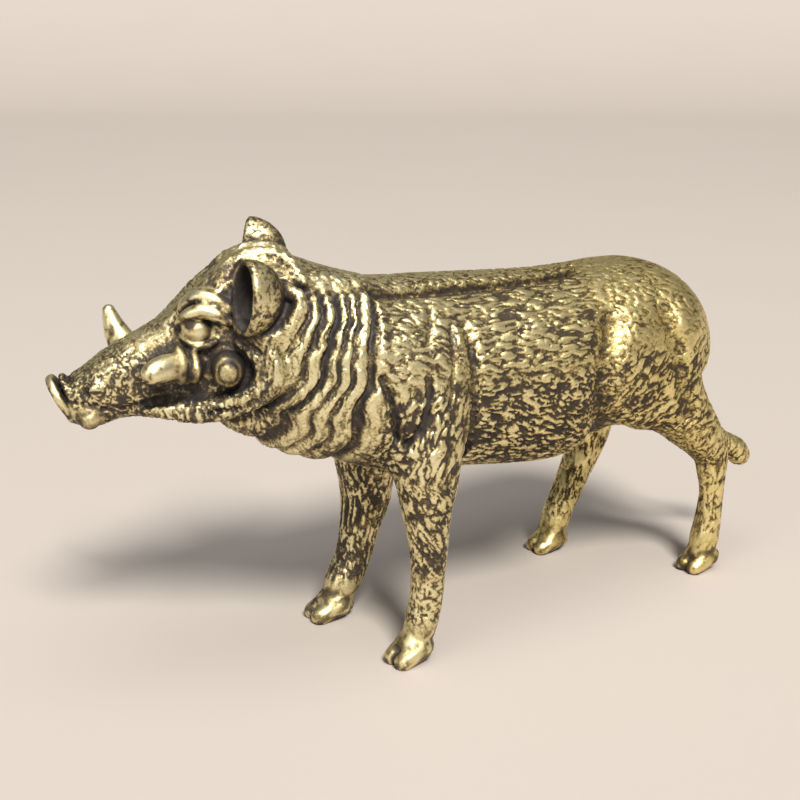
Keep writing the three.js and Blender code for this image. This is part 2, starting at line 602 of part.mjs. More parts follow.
function surfaceOf({ values, size, index }) {
  const positions = [];
  const indices = [];
  const edgeVertex = new Map();
  const crossing = (i, j, k, corner, from, to) => {
    const low = from & to;
    const high = from | to;
    const node = index(i + (low & 1), j + ((low >> 1) & 1), k + (low >> 2));
    const key = node * 8 + (high - low);
    if (edgeVertex.has(key)) return edgeVertex.get(key);
    const t = clamp(corner[low] / (corner[low] - corner[high]), NODE_CLEARANCE, 1 - NODE_CLEARANCE);
    const along = (bit) => ((low >> bit) & 1) + t * (((high >> bit) & 1) - ((low >> bit) & 1));
    positions.push(SAMPLE_LOW[0] + (i + along(0)) * GRID_STEP,
      SAMPLE_LOW[1] + (j + along(1)) * GRID_STEP,
      SAMPLE_LOW[2] + (k + along(2)) * GRID_STEP);
    edgeVertex.set(key, positions.length / 3 - 1);
    return positions.length / 3 - 1;
  };
  const corner = new Array(8);
  for (let i = 0; i + 1 < size[0]; i++) {
    for (let j = 0; j + 1 < size[1]; j++) {
      for (let k = 0; k + 1 < size[2]; k++) {
        let inside = 0;
        for (let c = 0; c < 8; c++) {
          corner[c] = values[index(i + (c & 1), j + ((c >> 1) & 1), k + (c >> 2))];
          if (corner[c] < 0) inside++;
        }
        if (inside === 0 || inside === 8) continue;
        for (const tetrahedron of TETRAHEDRA) {
          const mask = tetrahedron.reduce((bits, c, n) => bits | (corner[c] < 0 ? 1 << n : 0), 0);
          for (const face of FACES_BY_MASK[mask]) {
            for (const [p, q] of face) indices.push(crossing(i, j, k, corner, tetrahedron[p], tetrahedron[q]));
          }
        }
      }
    }
  }
  const geometry = new THREE.BufferGeometry();
  geometry.setAttribute("position", new THREE.BufferAttribute(new Float32Array(positions), 3));
  geometry.setIndex(indices);
  return geometry;
}

// Thinned to the target, or to a little fewer, at the first count where no
// two sheets of the surface touch along an edge
async function thinned(geometry) {
  for (let target = TARGET_TRIANGLES; target > TARGET_TRIANGLES * 0.85; target -= 60) {
    const excess = geometry.index.count / 3 - target;
    const thin = outerSkin(await new SimplifyModifier().modify(geometry, Math.round(excess / 2)));
    if (touchingEdges(thin) === 0) return thin;
  }
  throw new Error("no clean thinning was found");
}

function touchingEdges(geometry) {
  const uses = new Map();
  const index = geometry.index.array;
  for (let i = 0; i < index.length; i++) {
    const a = index[i];
    const b = index[i % 3 === 2 ? i - 2 : i + 1];
    const key = Math.min(a, b) * index.length + Math.max(a, b);
    uses.set(key, (uses.get(key) ?? 0) + 1);
  }
  return [...uses.values()].filter((n) => n !== 2).length;
}

// The largest run of triangles joined edge to edge, two to each edge. It leaves
// out the pinholes that thinning closes off inside the mouth and the folds.
function outerSkin(geometry) {
  const index = geometry.index.array;
  const count = index.length / 3;
  const sharing = new Map();
  const edgeKey = (a, b) => (a < b ? `${a}_${b}` : `${b}_${a}`);
  for (let t = 0; t < count; t++) {
    for (let e = 0; e < 3; e++) {
      const key = edgeKey(index[3 * t + e], index[3 * t + ((e + 1) % 3)]);
      if (!sharing.has(key)) sharing.set(key, []);
      sharing.get(key).push(t);
    }
  }
  const label = new Int32Array(count).fill(-1);
  let best = [];
  for (let seed = 0; seed < count; seed++) {
    if (label[seed] >= 0) continue;
    const run = [seed];
    label[seed] = seed;
    for (let n = 0; n < run.length; n++) {
      const t = run[n];
      for (let e = 0; e < 3; e++) {
        const beside = sharing.get(edgeKey(index[3 * t + e], index[3 * t + ((e + 1) % 3)]));
        if (beside.length !== 2) continue;
        const next = beside[0] === t ? beside[1] : beside[0];
        if (label[next] < 0) {
          label[next] = seed;
          run.push(next);
        }
      }
    }
    if (run.length > best.length) best = run;
  }
  const kept = geometry.clone();
  kept.setIndex(best.flatMap((t) => [index[3 * t], index[3 * t + 1], index[3 * t + 2]]));
  return kept;
}

const wasm = await Module();
wasm.setup();

function toManifold(geometry) {
  const { position } = geometry.attributes;
  return new wasm.Manifold(new wasm.Mesh({
    numProp: 3,
    vertProperties: new Float32Array(position.array.slice(0, position.count * 3)),
    triVerts: new Uint32Array(geometry.index.array),
  }));
}

function fromManifold(solid) {
  const mesh = solid.getMesh();
  const geometry = new THREE.BufferGeometry();
  geometry.setAttribute("position", new THREE.BufferAttribute(new Float32Array(mesh.vertProperties), 3));
  geometry.setIndex(new THREE.BufferAttribute(new Uint32Array(mesh.triVerts), 1));
  return geometry;
}

// A slab below the ground plane that takes the hooves off flat
function groundSlab() {
  const slab = new THREE.BoxGeometry(90, 60, 10);
  slab.translate(0, 0, -5);
  slab.deleteAttribute("normal");
  slab.deleteAttribute("uv");
  return mergeCorners(slab);
}

function mergeCorners(geometry) {
  const { position } = geometry.attributes;
  const seen = new Map();
  const points = [];
  const remap = [];
  for (let i = 0; i < position.count; i++) {
    const key = [position.getX(i), position.getY(i), position.getZ(i)].join(",");
    if (!seen.has(key)) {
      seen.set(key, points.length / 3);
      points.push(position.getX(i), position.getY(i), position.getZ(i));
    }
    remap.push(seen.get(key));
  }
  const merged = new THREE.BufferGeometry();
  merged.setAttribute("position", new THREE.BufferAttribute(new Float32Array(points), 3));
  merged.setIndex(Array.from(geometry.index.array, (i) => remap[i]));
  return merged;
}

function centredOnGround(geometry) {
  geometry.computeBoundingBox();
  const { min, max } = geometry.boundingBox;
  geometry.translate(-(min.x + max.x) / 2, -(min.y + max.y) / 2, 0);
  geometry.computeVertexNormals();
  return geometry;
}

const casting = toManifold(await thinned(surfaceOf(sampleField())));
const standing = casting.subtract(toManifold(groundSlab()));
const boar = new THREE.Mesh(
  centredOnGround(fromManifold(standing)),
  new THREE.MeshStandardMaterial({
    color: BRASS_COLOUR,
    roughness: BRASS_ROUGHNESS,
    metalness: BRASS_METALNESS,
  }),
);
boar.name = "boar_statue";

const statue = new THREE.Group();
statue.name = "brass_boar_statue";
statue.add(boar);

export default statue;
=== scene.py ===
import math
import bpy
import numpy as np
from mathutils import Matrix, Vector
from mathutils.kdtree import KDTree


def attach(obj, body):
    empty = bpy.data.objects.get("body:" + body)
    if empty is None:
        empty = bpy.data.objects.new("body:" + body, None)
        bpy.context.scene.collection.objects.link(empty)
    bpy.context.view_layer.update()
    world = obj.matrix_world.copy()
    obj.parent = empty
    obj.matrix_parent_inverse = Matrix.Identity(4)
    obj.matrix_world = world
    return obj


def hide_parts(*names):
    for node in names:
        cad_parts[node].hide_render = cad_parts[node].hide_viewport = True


# A small solid-cast brass warthog standing on its hooves, with a chased and patinated skin.
# Its form is a signed distance in millimetres: the head towards -X, the animal's left
# side towards -Y and the soles on Z = 0. The surface is read from a grid, the chased
# skin is pressed into it, and the result is moved to the frame's place in metres.
# A pair named as heights, front, rear or sides is where something fades out or in.

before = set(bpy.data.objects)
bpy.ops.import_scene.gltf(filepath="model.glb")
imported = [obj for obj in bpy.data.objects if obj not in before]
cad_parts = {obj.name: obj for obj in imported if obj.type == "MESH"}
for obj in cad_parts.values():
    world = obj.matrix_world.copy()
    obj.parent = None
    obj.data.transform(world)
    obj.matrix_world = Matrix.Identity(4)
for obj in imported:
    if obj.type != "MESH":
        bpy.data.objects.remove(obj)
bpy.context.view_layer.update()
NODE = "boar_statue"
MM = 0.001

# Mesh fineness, in millimetres and triangles
GRID_STEP = 0.135
BLOCK = 4
BATCH = 80000
MOST_TRIANGLES = 196000
SAMPLE_LOW = (-34.2, -8.4, -0.3)
SAMPLE_HIGH = (24.8, 10.4, 31.6)
BOX_MARGIN = 1.6

# Trunk sections along X: x, underside, top, half width
TRUNK = [
    (-22.0, 19.4, 26.6, 3.2),
    (-20.0, 16.9, 27.2, 4.2),
    (-18.0, 15.6, 27.2, 4.9),
    (-16.0, 14.7, 26.8, 5.4),
    (-13.0, 13.5, 26.4, 6.0),
    (-10.0, 12.9, 26.1, 6.2),
    (-6.0, 12.4, 25.8, 6.2),
    (-2.0, 11.8, 25.6, 6.6),
    (1.5, 11.5, 25.4, 6.9),
    (4.5, 12.0, 25.5, 6.8),
    (7.5, 13.2, 25.75, 6.5),
    (10.0, 14.2, 25.8, 6.2),
    (12.5, 14.6, 25.5, 6.0),
    (14.8, 14.6, 24.4, 5.5),
    (16.5, 14.8, 22.4, 4.5),
    (17.7, 15.6, 20.4, 3.0),
    (18.3, 16.8, 19.2, 1.2),
]
TRUNK_POWER = 2.25
CAP_SOFT = 0.8

# The neck curves to the head's side ahead of this X
NECK_BEND_START = -14.0
NECK_BEND = 0.022

# Head sections forward of the pivot: distance, underside, top, half width
HEAD_PIVOT = (-16.0, 0.0)
HEAD_TURN = math.radians(22.0)
HEAD_START = -11.0
HEAD = [
    (-3.0, 15.4, 27.2, 4.4),
    (0.0, 14.9, 28.0, 4.9),
    (2.5, 15.2, 28.9, 4.7),
    (4.5, 16.0, 29.4, 4.2),
    (6.0, 16.9, 29.1, 3.6),
    (7.5, 17.6, 28.0, 3.15),
    (9.0, 18.1, 26.7, 2.75),
    (10.5, 18.4, 25.5, 2.5),
    (12.0, 18.6, 24.6, 2.35),
    (13.5, 18.6, 23.8, 2.25),
    (15.0, 18.4, 22.9, 2.0),
    (16.2, 18.6, 22.0, 1.7),
    (17.2, 19.2, 21.5, 1.4),
]
HEAD_POWER = 2.2
HEAD_BLEND = 0.8

# Mane strip along the spine: x, underside, top, half width
MANE = [
    (-21.8, 25.6, 29.2, 2.2),
    (-19.5, 25.2, 28.6, 2.5),
    (-16.0, 25.0, 27.5, 2.4),
    (-12.0, 25.0, 26.9, 2.1),
    (-8.0, 25.0, 26.6, 2.0),
    (-3.0, 25.0, 26.2, 1.9),
    (2.0, 24.8, 25.9, 1.5),
    (6.0, 24.8, 26.0, 0.8),
]
MANE_POWER = 2.6
MANE_BLEND = 0.15
MANE_GROOVE_DEPTH = 0.28
MANE_GROOVE_WIDTH = 0.35
MANE_GROOVE_GAP = 0.15
MANE_GROOVE_HEIGHTS = (24.5, 25.5)
MANE_GROOVE_REAR = (4.5, 8.0)
MANE_GROOVE_FRONT = (-21.0, -19.5)

# Neck folds: grooves on arcs about a centre at the cheek, radius, depth, width
FOLD_CENTRE = (-25.5, 26.0)
FOLDS = [
    (5.60, 0.28, 0.18),
    (6.62, 0.36, 0.18),
    (7.66, 0.52, 0.24),
    (8.45, 0.34, 0.17),
    (9.17, 0.34, 0.17),
    (10.38, 0.58, 0.32),
]
# They draw together past a height: height, -1 below or 1 above it, and by how much a millimetre
FOLD_SPREADS = [(23.0, -1, 0.2), (19.4, -1, 0.5), (24.6, 1, 0.5)]
FOLD_WAVE = 0.09
FOLD_WAVE_RATE = 1.7
FOLD_RIPPLE = 0.6
FOLD_RIPPLE_RATE = 3.1
FOLD_HEIGHTS = (12.5, 14.5)
FOLD_FRONT = (-27.0, -25.5)
FOLD_MANE_HEIGHTS = (25.0, 25.8)
FOLD_MANE_SIDES = (2.2, 3.0)

# Groove where the shoulder ends behind the foreleg
SHOULDER_GROOVE_X = -7.95
SHOULDER_GROOVE_DEPTH = 0.40
SHOULDER_GROOVE_WIDTH = 0.42
SHOULDER_GROOVE_TOP = (22.5, 25.0)
SHOULDER_GROOVE_HEIGHTS = (13.5, 15.0)

# Creases and hollows down the sides: points x, z; depth; width; how dark they are painted, which is
# patina, with painted shade in the two broad hollows by the thigh
SIDE_GROOVES = [
    ([(-15.1, 21.4), (-14.2, 19.25), (-13.7, 17.0)], 0.45, 0.30, 0.8),
    ([(-11.8, 21.0), (-11.8, 19.7), (-12.35, 17.7), (-13.15, 16.6)], 0.38, 0.28, 0.8),
    ([(-10.2, 25.0), (-11.5, 23.2)], 0.20, 0.25, 0.6),
    ([(-9.3, 23.7), (-9.8, 21.3), (-10.5, 18.8)], 0.22, 0.25, 0.6),
    ([(4.6, 22.1), (3.7, 20.1), (3.35, 18.0), (3.6, 16.0), (4.6, 14.0)], 0.80, 1.25, 0.50),
    ([(9.9, 22.1), (10.6, 19.8), (11.3, 17.0), (12.4, 14.4)], 0.45, 0.80, 0.40),
]
SIDE_DARK_SHARES = (0.3, 0.9)

# Legs: centre line points x, y, z, radius; hooves: x, y, turn in degrees, length, width
NEAR_FORELEG = [
    (-10.6, -3.6, 18.5, 2.9), (-10.9, -4.2, 15.4, 2.6), (-10.9, -4.5, 13.3, 2.1),
    (-11.0, -4.6, 11.8, 1.8), (-10.9, -4.6, 10.2, 1.5), (-10.8, -4.6, 8.7, 1.3),
    (-10.8, -4.6, 7.2, 1.2), (-10.85, -4.6, 5.6, 1.1), (-11.0, -4.6, 4.2, 1.1),
    (-11.5, -4.6, 2.4, 1.15),
]
FAR_FORELEG = [
    (-10.4, 3.6, 18.5, 2.9), (-10.2, 4.2, 14.0, 2.6), (-10.0, 4.6, 10.3, 2.0),
    (-10.1, 4.6, 8.7, 1.75), (-10.5, 4.6, 7.2, 1.5), (-10.9, 4.6, 5.6, 1.35),
    (-11.4, 4.6, 4.1, 1.3), (-12.3, 4.6, 2.5, 1.35),
]
NEAR_HIND_LEG = [
    (11.6, -2.8, 20.0, 4.0), (11.6, -3.6, 17.2, 3.3), (13.2, -4.3, 14.4, 2.5),
    (15.3, -4.7, 12.1, 1.9), (16.9, -4.9, 10.0, 1.35), (17.1, -5.0, 8.4, 1.1),
    (17.3, -5.0, 6.6, 0.9), (17.2, -5.0, 5.2, 0.92), (17.0, -5.0, 3.5, 1.05),
    (16.7, -5.0, 2.2, 1.1),
]
FAR_HIND_LEG = [
    (11.6, 2.8, 20.0, 4.0), (11.2, 3.8, 16.4, 3.1), (12.0, 4.5, 13.2, 2.3),
    (12.8, 4.8, 10.6, 1.7), (12.4, 4.9, 8.8, 1.45), (11.6, 5.0, 7.0, 1.3),
    (10.6, 5.0, 5.1, 1.2), (9.7, 5.0, 3.4, 1.15), (9.2, 5.0, 2.2, 1.15),
]
THIGH_FRONT = [(7.2, 4.1, 15.8, 1.5), (9.5, 4.1, 15.0, 1.9), (12.0, 4.1, 14.9, 2.2)]
LEGS = [
    (NEAR_FORELEG, 0, (-12.55, -4.6, 5.0, 2.8, 2.7)),
    (FAR_FORELEG, 0, (-13.6, 4.6, -5.0, 2.9, 2.8)),
    (NEAR_HIND_LEG, -1, (16.1, -5.0, 3.0, 2.9, 2.6)),
    (FAR_HIND_LEG, 1, (8.4, 5.0, -3.0, 2.8, 2.6)),
]
LEG_BLEND = 1.0
LEG_RING_BLEND = 0.35
THIGH_BLEND = 0.8
THIGH_BULGE_CENTRE = (7.9, 5.3, 17.8)
THIGH_BULGE_RADII = (1.8, 1.35, 3.6)
THIGH_BULGE_BLEND = 0.9
# Hoof shapes: along and across are shares of its length and half width, as is a claw point's
# radius, which comes last; heights and the dewclaw's radii are in millimetres
CLAW = [(-0.25, 0.45, 1.1, 0.62), (0.3, 0.42, 0.5, 0.5)]
CORONET_PLACE = (-0.15, 0.0, 1.35)
CORONET_RADII = (0.4, 0.86, 0.95)
DEWCLAW_PLACE = (-0.5, 0.42, 1.0)
DEWCLAW_RADII = (0.5, 0.42, 0.62)
CORONET_BLEND = 0.25
DEWCLAW_BLEND = 0.15
HOOF_BLEND = 0.35
TAIL = [
    (16.0, 0.0, 23.2, 0.8), (17.1, -0.3, 21.4, 0.9), (17.7, -0.8, 18.2, 0.85),
    (18.1, -1.4, 14.8, 0.75), (18.9, -2.0, 12.0, 0.65), (20.7, -2.4, 10.0, 0.65),
    (22.4, -2.6, 8.6, 1.0), (22.95, -2.7, 7.95, 0.95),
]
TAIL_BLEND = 0.3

# Near and far ear in head coordinates: centre, the way the cup opens, outer radii, hollow's radii
EARS = [
    ((5.75, -4.55, 27.1), (0.92, -0.39, 0.0), (2.6, 1.6, 2.45), (2.25, 1.14, 2.0)),
    ((4.6, 4.6, 28.2), (0.95, 0.3, 0.0), (2.7, 1.6, 2.6), (2.1, 1.15, 2.1)),
]
EAR_UP = (0.1, 0.0, 1.0)
EAR_LIP = 0.25
EAR_LEAN = 0.1
EAR_RIM_SOFT = 0.25
EAR_HOLLOW_SOFT = 0.2

# The upper eyelid: line points and radius in head coordinates
LID = [(9.9, -2.3, 25.2, 0.22), (9.3, -2.75, 25.8, 0.4), (8.4, -3.05, 26.1, 0.5),
       (7.5, -3.25, 25.85, 0.48), (6.7, -3.35, 25.3, 0.3)]
FAR_LID_INSET = 0.35
FAR_LID_DROP = 0.2
FAR_LID_SLIM = 0.12

# Noise of the strokes: its gain, the softness of stroke edges, a finer share, and the thin cracks
NOISE_GAIN = 1.6
ISLAND_EDGE = 0.22
FINE_SHARE = 0.45
FINE_SCALE = 2.1
FINE_SHIFT = 7.3
CRACK_SIZE = 0.6
CRACK_SHIFT = 3.1
CRACK_FINE_SHARE = 0.3
CRACK_FINE_SCALE = 2.0
CRACK_CORE = 0.2
WANDER_SIZE = 1.3
WANDER = 0.22
WANDER_SEED = 900

# Strokes of the chased skin: angle in the side plane, length, width, depth, bias, crack, dark. A higher
# bias leaves more of the surface standing, crack is how wide the thin cracks are, and dark is how much
# patina the pits hold. Region rows: name, x span, z span, softness, then the strokes.
SKIN = [
    ("upper shoulder", (-15.6, -8.6), (20.5, 27.0), 0.8, -28, 1.30, 0.26, 0.10, 0.40, 0.26, 0.68),
    ("lower shoulder", (-15.6, -8.6), (13.6, 20.5), 0.8, 66, 1.00, 0.30, 0.14, 0.26, 0.30, 0.82),
    ("near foreleg", (-16.0, -8.6), (6.5, 13.6), 0.8, -50, 0.90, 0.26, 0.12, 0.26, 0.30, 0.78),
    ("fore shank", (-16.0, -8.0), (-1.0, 6.5), 0.9, -35, 0.70, 0.24, 0.08, 0.34, 0.24, 0.75),
    ("upper barrel", (-8.6, 4.5), (20.0, 27.0), 1.0, -8, 1.10, 0.24, 0.11, 0.36, 0.28, 0.80),
    ("lower barrel", (-8.6, 5.0), (10.0, 20.0), 1.0, -16, 0.70, 0.25, 0.14, 0.16, 0.26, 0.95),
    ("haunch", (4.5, 20.0), (20.5, 27.0), 1.2, -30, 1.10, 0.28, 0.07, 0.36, 0.20, 0.65),
    ("thigh", (5.0, 20.0), (12.5, 20.5), 1.2, 35, 0.80, 0.32, 0.11, 0.34, 0.26, 0.85),
    ("hind shank", (5.0, 26.0), (-1.0, 12.5), 1.0, 75, 1.20, 0.26, 0.08, 0.36, 0.20, 0.75),
]
# The same for the head in head coordinates, where angles turn the other way
HEAD_SKIN = [
    ("snout", (11.5, 19.0), (17.0, 25.0), 0.8, 20, 0.40, 0.20, 0.070, 0.12, 0.22, 0.85),
    ("bridge", (8.0, 19.0), (23.8, 30.0), 0.6, 60, 0.55, 0.22, 0.065, 0.20, 0.20, 0.70),
    ("temple", (3.0, 8.0), (24.5, 31.0), 0.8, -40, 0.90, 0.24, 0.085, 0.14, 0.24, 0.80),
    ("cheek", (5.0, 11.5), (20.4, 24.6), 0.6, 50, 0.60, 0.22, 0.065, 0.14, 0.20, 0.75),
    ("jaw", (4.0, 12.0), (17.0, 20.6), 0.4, 75, 0.90, 0.26, 0.110, 0.22, 0.30, 0.72),
    ("jowl", (2.5, 5.4), (20.0, 25.0), 0.5, 85, 0.90, 0.22, 0.080, 0.26, 0.20, 0.65),
]
NECK_STROKES = (0, 1.1, 0.24, 0.08, 0.3, 0.2, 0.42)
MANE_STROKES = (-35, 0.7, 0.26, 0.10, 0.25, 0.2, 0.7)
EAR_STROKES = (60, 0.26, 0.24, 0.03, 0.12, 0.0, 1.0)
EAR_WEIGHT = 6
# The far foreleg stands in the shade; its darker strokes are patina and painted shade
FAR_FORELEG_STROKES = (88, 1.10, 0.26, 0.10, -0.02, 0.20, 1.0)
FAR_FORELEG_WEIGHT = 4
FAR_FORELEG_SIDES = (1.5, 3.0)
FAR_FORELEG_X = (-16.0, -7.0)
FAR_FORELEG_Z = (1.5, 12.5)
FAR_FORELEG_SOFT = 1.0
BODY_SEED = 40
NECK_SEED = 31
EAR_SEED = 270
MANE_SEED = 280
FAR_FORELEG_SEED = 290
HEAD_SEED = 310
SPOT_SEED = 330
SEED_STEP = 20
NECK_ARC = 8.0
NECK_SIDEWAYS = 0.6
HEAD_SKIN_REAR = (3.0, 4.6)
HEAD_SKIN_X = (-14.5, -16.0)
NECK_SKIN_X = (-14.6, -15.8)
NECK_SKIN_HEIGHTS = (11.5, 12.5)
MANE_SKIN_HEIGHTS = (24.6, 25.4)
MANE_SKIN_EDGE = 0.2
MANE_SKIN_REAR = (7.0, 5.0)
LEAST_WEIGHT = 0.01
LEAST_TOTAL = 1e-6

# Smooth parts of the head and how much patina is left on them
SMOOTH_PARTS = {"rim": 0.0, "chin": 0.40, "tusk": 0.0, "lip fold": 0.40, "wart": 0.45,
                "eyeball": 0.0, "brow": 0.0, "lid": 0.0}
SMOOTH_REACH = 0.35
SMOOTH_CORE = 0.3
EAR_DULL = 0.28
HOOF_DULL = 0.15
HOOF_TOP = (1.9, 3.6)

# Spots of patina on the smooth parts
SPOT_ANGLE = 40
SPOT_LENGTH = 0.80
SPOT_WIDTH = 0.38
SPOT_BIAS = 0.16
SPOT_DARK = 0.80
HOOF_SPOT_BIAS = -0.06

# Where the skin is painted dark: patina in the folds by depth, patina and painted shade on the head by
# place and reach, and the iris
FOLD_DARK = 0.72
FOLD_DARK_DEPTHS = (0.16, 0.42)
HOLLOW_PLACES = [
    ((7.0, -3.3, 26.2), 1.4), ((6.9, -3.9, 24.6), 1.2), ((11.2, -2.6, 20.9), 1.5),
    ((9.0, -2.9, 20.6), 1.0), ((10.9, -2.6, 23.6), 1.2), ((7.9, -2.4, 27.6), 1.0),
]
HOLLOW_DARK = 0.55
HOLLOW_EDGE = (0.4, 1.0)
HOLLOW_REACH = 0.2
IRIS = (9.25, -3.1, 25.3)
IRIS_REACH = 0.52
IRIS_CORE = 0.7

# The crown between the ears gets a painted highlight: the patina is taken off it
CROWN_HEIGHTS = (27.2, 28.2)
CROWN_FRONT = (6.5, 7.8)
CROWN_REAR = (1.5, 2.5)
CROWN_HIGHLIGHT = 0.6

# How far out a hollow is felt, how dark hollows are painted with patina and painted shade, and the painted
# shade on the underside
CLOSE_REACH = 0.55
WIDE_REACH = 1.5
WIDE_SHARE = 0.8
UNDERSIDE_DARK = 0.4

# Aged brass, from worn to deep patina; the rear of the animal is more golden
BRIGHT = (0.88, 0.79, 0.50)
WORN = (0.66, 0.57, 0.31)
OLIVE = (0.27, 0.21, 0.10)
PATINA = (0.075, 0.058, 0.042)
DEEP = (0.022, 0.018, 0.016)
PATINA_STOPS = [(0.0, BRIGHT), (0.26, WORN), (0.46, OLIVE), (0.64, PATINA), (1.0, DEEP)]
ROUGHNESS_STOPS = [(0.0, (0.38,) * 3), (0.45, (0.50,) * 3), (1.0, (0.66,) * 3)]
METAL_STOPS = [(0.0, (1.0,) * 3), (0.5, (0.9,) * 3), (1.0, (0.45,) * 3)]
GOLDEN = (1.0, 0.93, 0.72)
GOLDEN_FROM = -0.012
GOLDEN_TO = 0.014
SKIN_SHARE = 0.62
CREVICE_SHARE = 0.85
POLISH_SHARE = 0.5
# Speckle and stain noise: size in millimetres, detail, roughness; then its middle and gain
SPECK = (0.16, 3.0, 0.6)
SPECK_MIDDLE = 0.5
SPECK_GAIN = 0.95
STAIN = (2.4, 3.0, 0.55)
STAIN_MIDDLE = 0.46
STAIN_GAIN = 0.8
GRAIN_STRENGTH = 0.6
GRAIN_DEPTH = 0.03

# Stage: floor, lights and camera. Places are in the statue's own millimetres.
CAMERA_PLACE = (-59.685, -72.481, 44.620)
CAMERA_LOOK = (0.565, 0.825)
CAMERA_DOWN = math.radians(17.0)
CLIP_START = 0.001
CLIP_END = 40.0
IMAGE_WIDTH = 800
FOCAL_PIXELS = 1300.0
SENSOR = 36.0
FLOOR_HALF = 2500.0
FLOOR_FRONT = 600.0
FLOOR_BACK = 450.0
COVE_RADIUS = 400.0
COVE_TURN = math.radians(40.0)
COVE_STEPS = 24
FLOOR_COLOUR = (0.42, 0.375, 0.34)
FLOOR_SHADE = 0.985
FLOOR_CLOUDS = (40.0, 2.0)
FLOOR_CLOUD_SPAN = (0.3, 0.7)
FLOOR_ROUGHNESS = 0.7
KEY_FROM = (-5.0, -16.5, 20.0)
KEY_ANGLE = math.radians(17.0)
KEY_STRENGTH = 5.6
KEY_COLOUR = (1.0, 0.97, 0.92)
# Soft panels: name, where from, distance, width, watts; they aim at this height
PANELS = [
    ("left_panel", (-25.0, -6.0, 10.0), 350.0, 240.0, 0.24),
    ("top_panel", (-2.0, -3.0, 20.0), 350.0, 260.0, 0.60),
]
PANEL_AIM = 15.0
WORLD_COLOUR = (1.0, 0.98, 0.94)
WORLD_STRENGTH = 0.13


# Distance helpers

def ramp(start, end, value):
    return np.clip((value - start) / (end - start), 0.0, 1.0)


def smooth_ramp(start, end, value):
    t = ramp(start, end, value)
    return t * t * (3.0 - 2.0 * t)


def joined(a, b, soft):
    h = np.clip(0.5 + 0.5 * (b - a) / soft, 0.0, 1.0)
    return b + (a - b) * h - soft * h * (1.0 - h)


def clipped(a, b, soft):
    return -joined(-a, -b, soft)


def stretches(rows):
    """The two rows at the ends of each stretch, between the row before and the row after."""
    for i in range(len(rows) - 1):
        yield rows[max(i - 1, 0)], rows[i], rows[i + 1], rows[min(i + 2, len(rows) - 1)]


def spline_rows(rows, steps):
    """Points of a smooth curve through the given rows."""
    rows = np.asarray(rows, float)
    out = []
    for before, start, end, after in stretches(rows):
        for u in np.arange(steps) / steps:
            out.append(0.5 * (
                2 * start + (end - before) * u
                + (2 * before - 5 * start + 4 * end - after) * u * u
                + (3 * start - before - 3 * end + after) * u ** 3))
    out.append(rows[-1])
    return np.array(out)


def section_rows(rows, steps=8):
    """Rows refined along the first column, which stays even inside each step."""
    rows = np.asarray(rows, float)
    out = []
    for before, start, end, after in stretches(rows):
        span = end[0] - start[0]
        slope_in = (end - before) / (end[0] - before[0]) * span
        slope_out = (after - start) / (after[0] - start[0]) * span
        for u in np.arange(steps) / steps:
            row = ((2 * u ** 3 - 3 * u ** 2 + 1) * start + (u ** 3 - 2 * u ** 2 + u) * slope_in
                   + (3 * u ** 2 - 2 * u ** 3) * end + (u ** 3 - u ** 2) * slope_out)
            row[0] = start[0] + u * span
            out.append(row)
    out.append(rows[-1])
    return np.array(out)


def loft(along, side, z, rows, power):
    """Distance to a body of rounded sections along one axis."""
    low, high, half = (np.interp(along, rows[:, 0], rows[:, i]) for i in (1, 2, 3))
    tall = (high - low) / 2
    p = np.abs(side) / half
    q = np.abs(z - (low + high) / 2) / tall
    r = (p ** power + q ** power) ** (1 / power) + 1e-9
    slope_p = (p / r) ** (power - 1) / half
    slope_q = (q / r) ** (power - 1) / tall
    body = (r - 1) / np.sqrt(slope_p ** 2 + slope_q ** 2 + 1e-12)
    end = np.maximum(rows[0, 0] - along, along - rows[-1, 0])
    return clipped(body, end, CAP_SOFT)


class Shape:
    """A distance and the box that holds it: it is only worked out near that box."""

    def __init__(self, distance, low, high):
        self.distance = distance
        self.low = np.asarray(low, float)
        self.high = np.asarray(high, float)


def tube(points, steps=3, soft=0.0):
    rows = spline_rows(points, steps)

    def distance(p):
        best = None
        for a, b in zip(rows[:-1], rows[1:]):
            way = b[:3] - a[:3]
            v = p - a[:3]
            t = np.clip((v @ way) / (way @ way), 0.0, 1.0)
            v -= t[:, None] * way
            d = np.sqrt((v * v).sum(-1)) - (a[3] + (b[3] - a[3]) * t)
            if best is None:
                best = d
            elif soft:
                best = joined(best, d, soft)
            else:
                best = np.minimum(best, d)
        return best

    reach = rows[:, 3:4]
    return Shape(distance, (rows[:, :3] - reach).min(0), (rows[:, :3] + reach).max(0))


def ball(centre, radii):
    centre, radii = np.asarray(centre, float), np.asarray(radii, float)

    def distance(p):
        q = (p - centre) / radii
        k0 = np.sqrt((q * q).sum(-1)) + 1e-9
        k1 = np.sqrt(((q / radii) ** 2).sum(-1)) + 1e-9
        return k0 * (k0 - 1) / k1

    return Shape(distance, centre - radii, centre + radii)


def ring(centre, radii, thickness, sides=14):
    """A closed ring standing lengthwise, used for the groove round a wart."""
    angles = 2 * np.pi * np.arange(sides + 1) / sides
    return tube([(centre[0] + radii[0] * math.cos(a), centre[1],
                  centre[2] + radii[1] * math.sin(a), thickness) for a in angles], 1)


def disc(centre, down_degrees, radius, half, soft):
    """A flat disc facing forward and tipped down."""
    tip = math.radians(down_degrees)
    centre = np.asarray(centre, float)
    facing = np.array([math.cos(tip), 0, -math.sin(tip)])
    up = np.array([math.sin(tip), 0, math.cos(tip)])

    def distance(p):
        v = p - centre
        rim = np.sqrt(v[:, 1] ** 2 + (v @ up) ** 2) - radius
        return clipped(rim, np.abs(v @ facing) - half, soft)

    return Shape(distance, centre - radius - half, centre + radius + half)


def ear_axes(facing):
    front = np.asarray(facing, float) / np.linalg.norm(facing)
    up = np.array(EAR_UP)
    up -= front * (up @ front)
    up /= np.linalg.norm(up)
    return front, np.cross(up, front), up


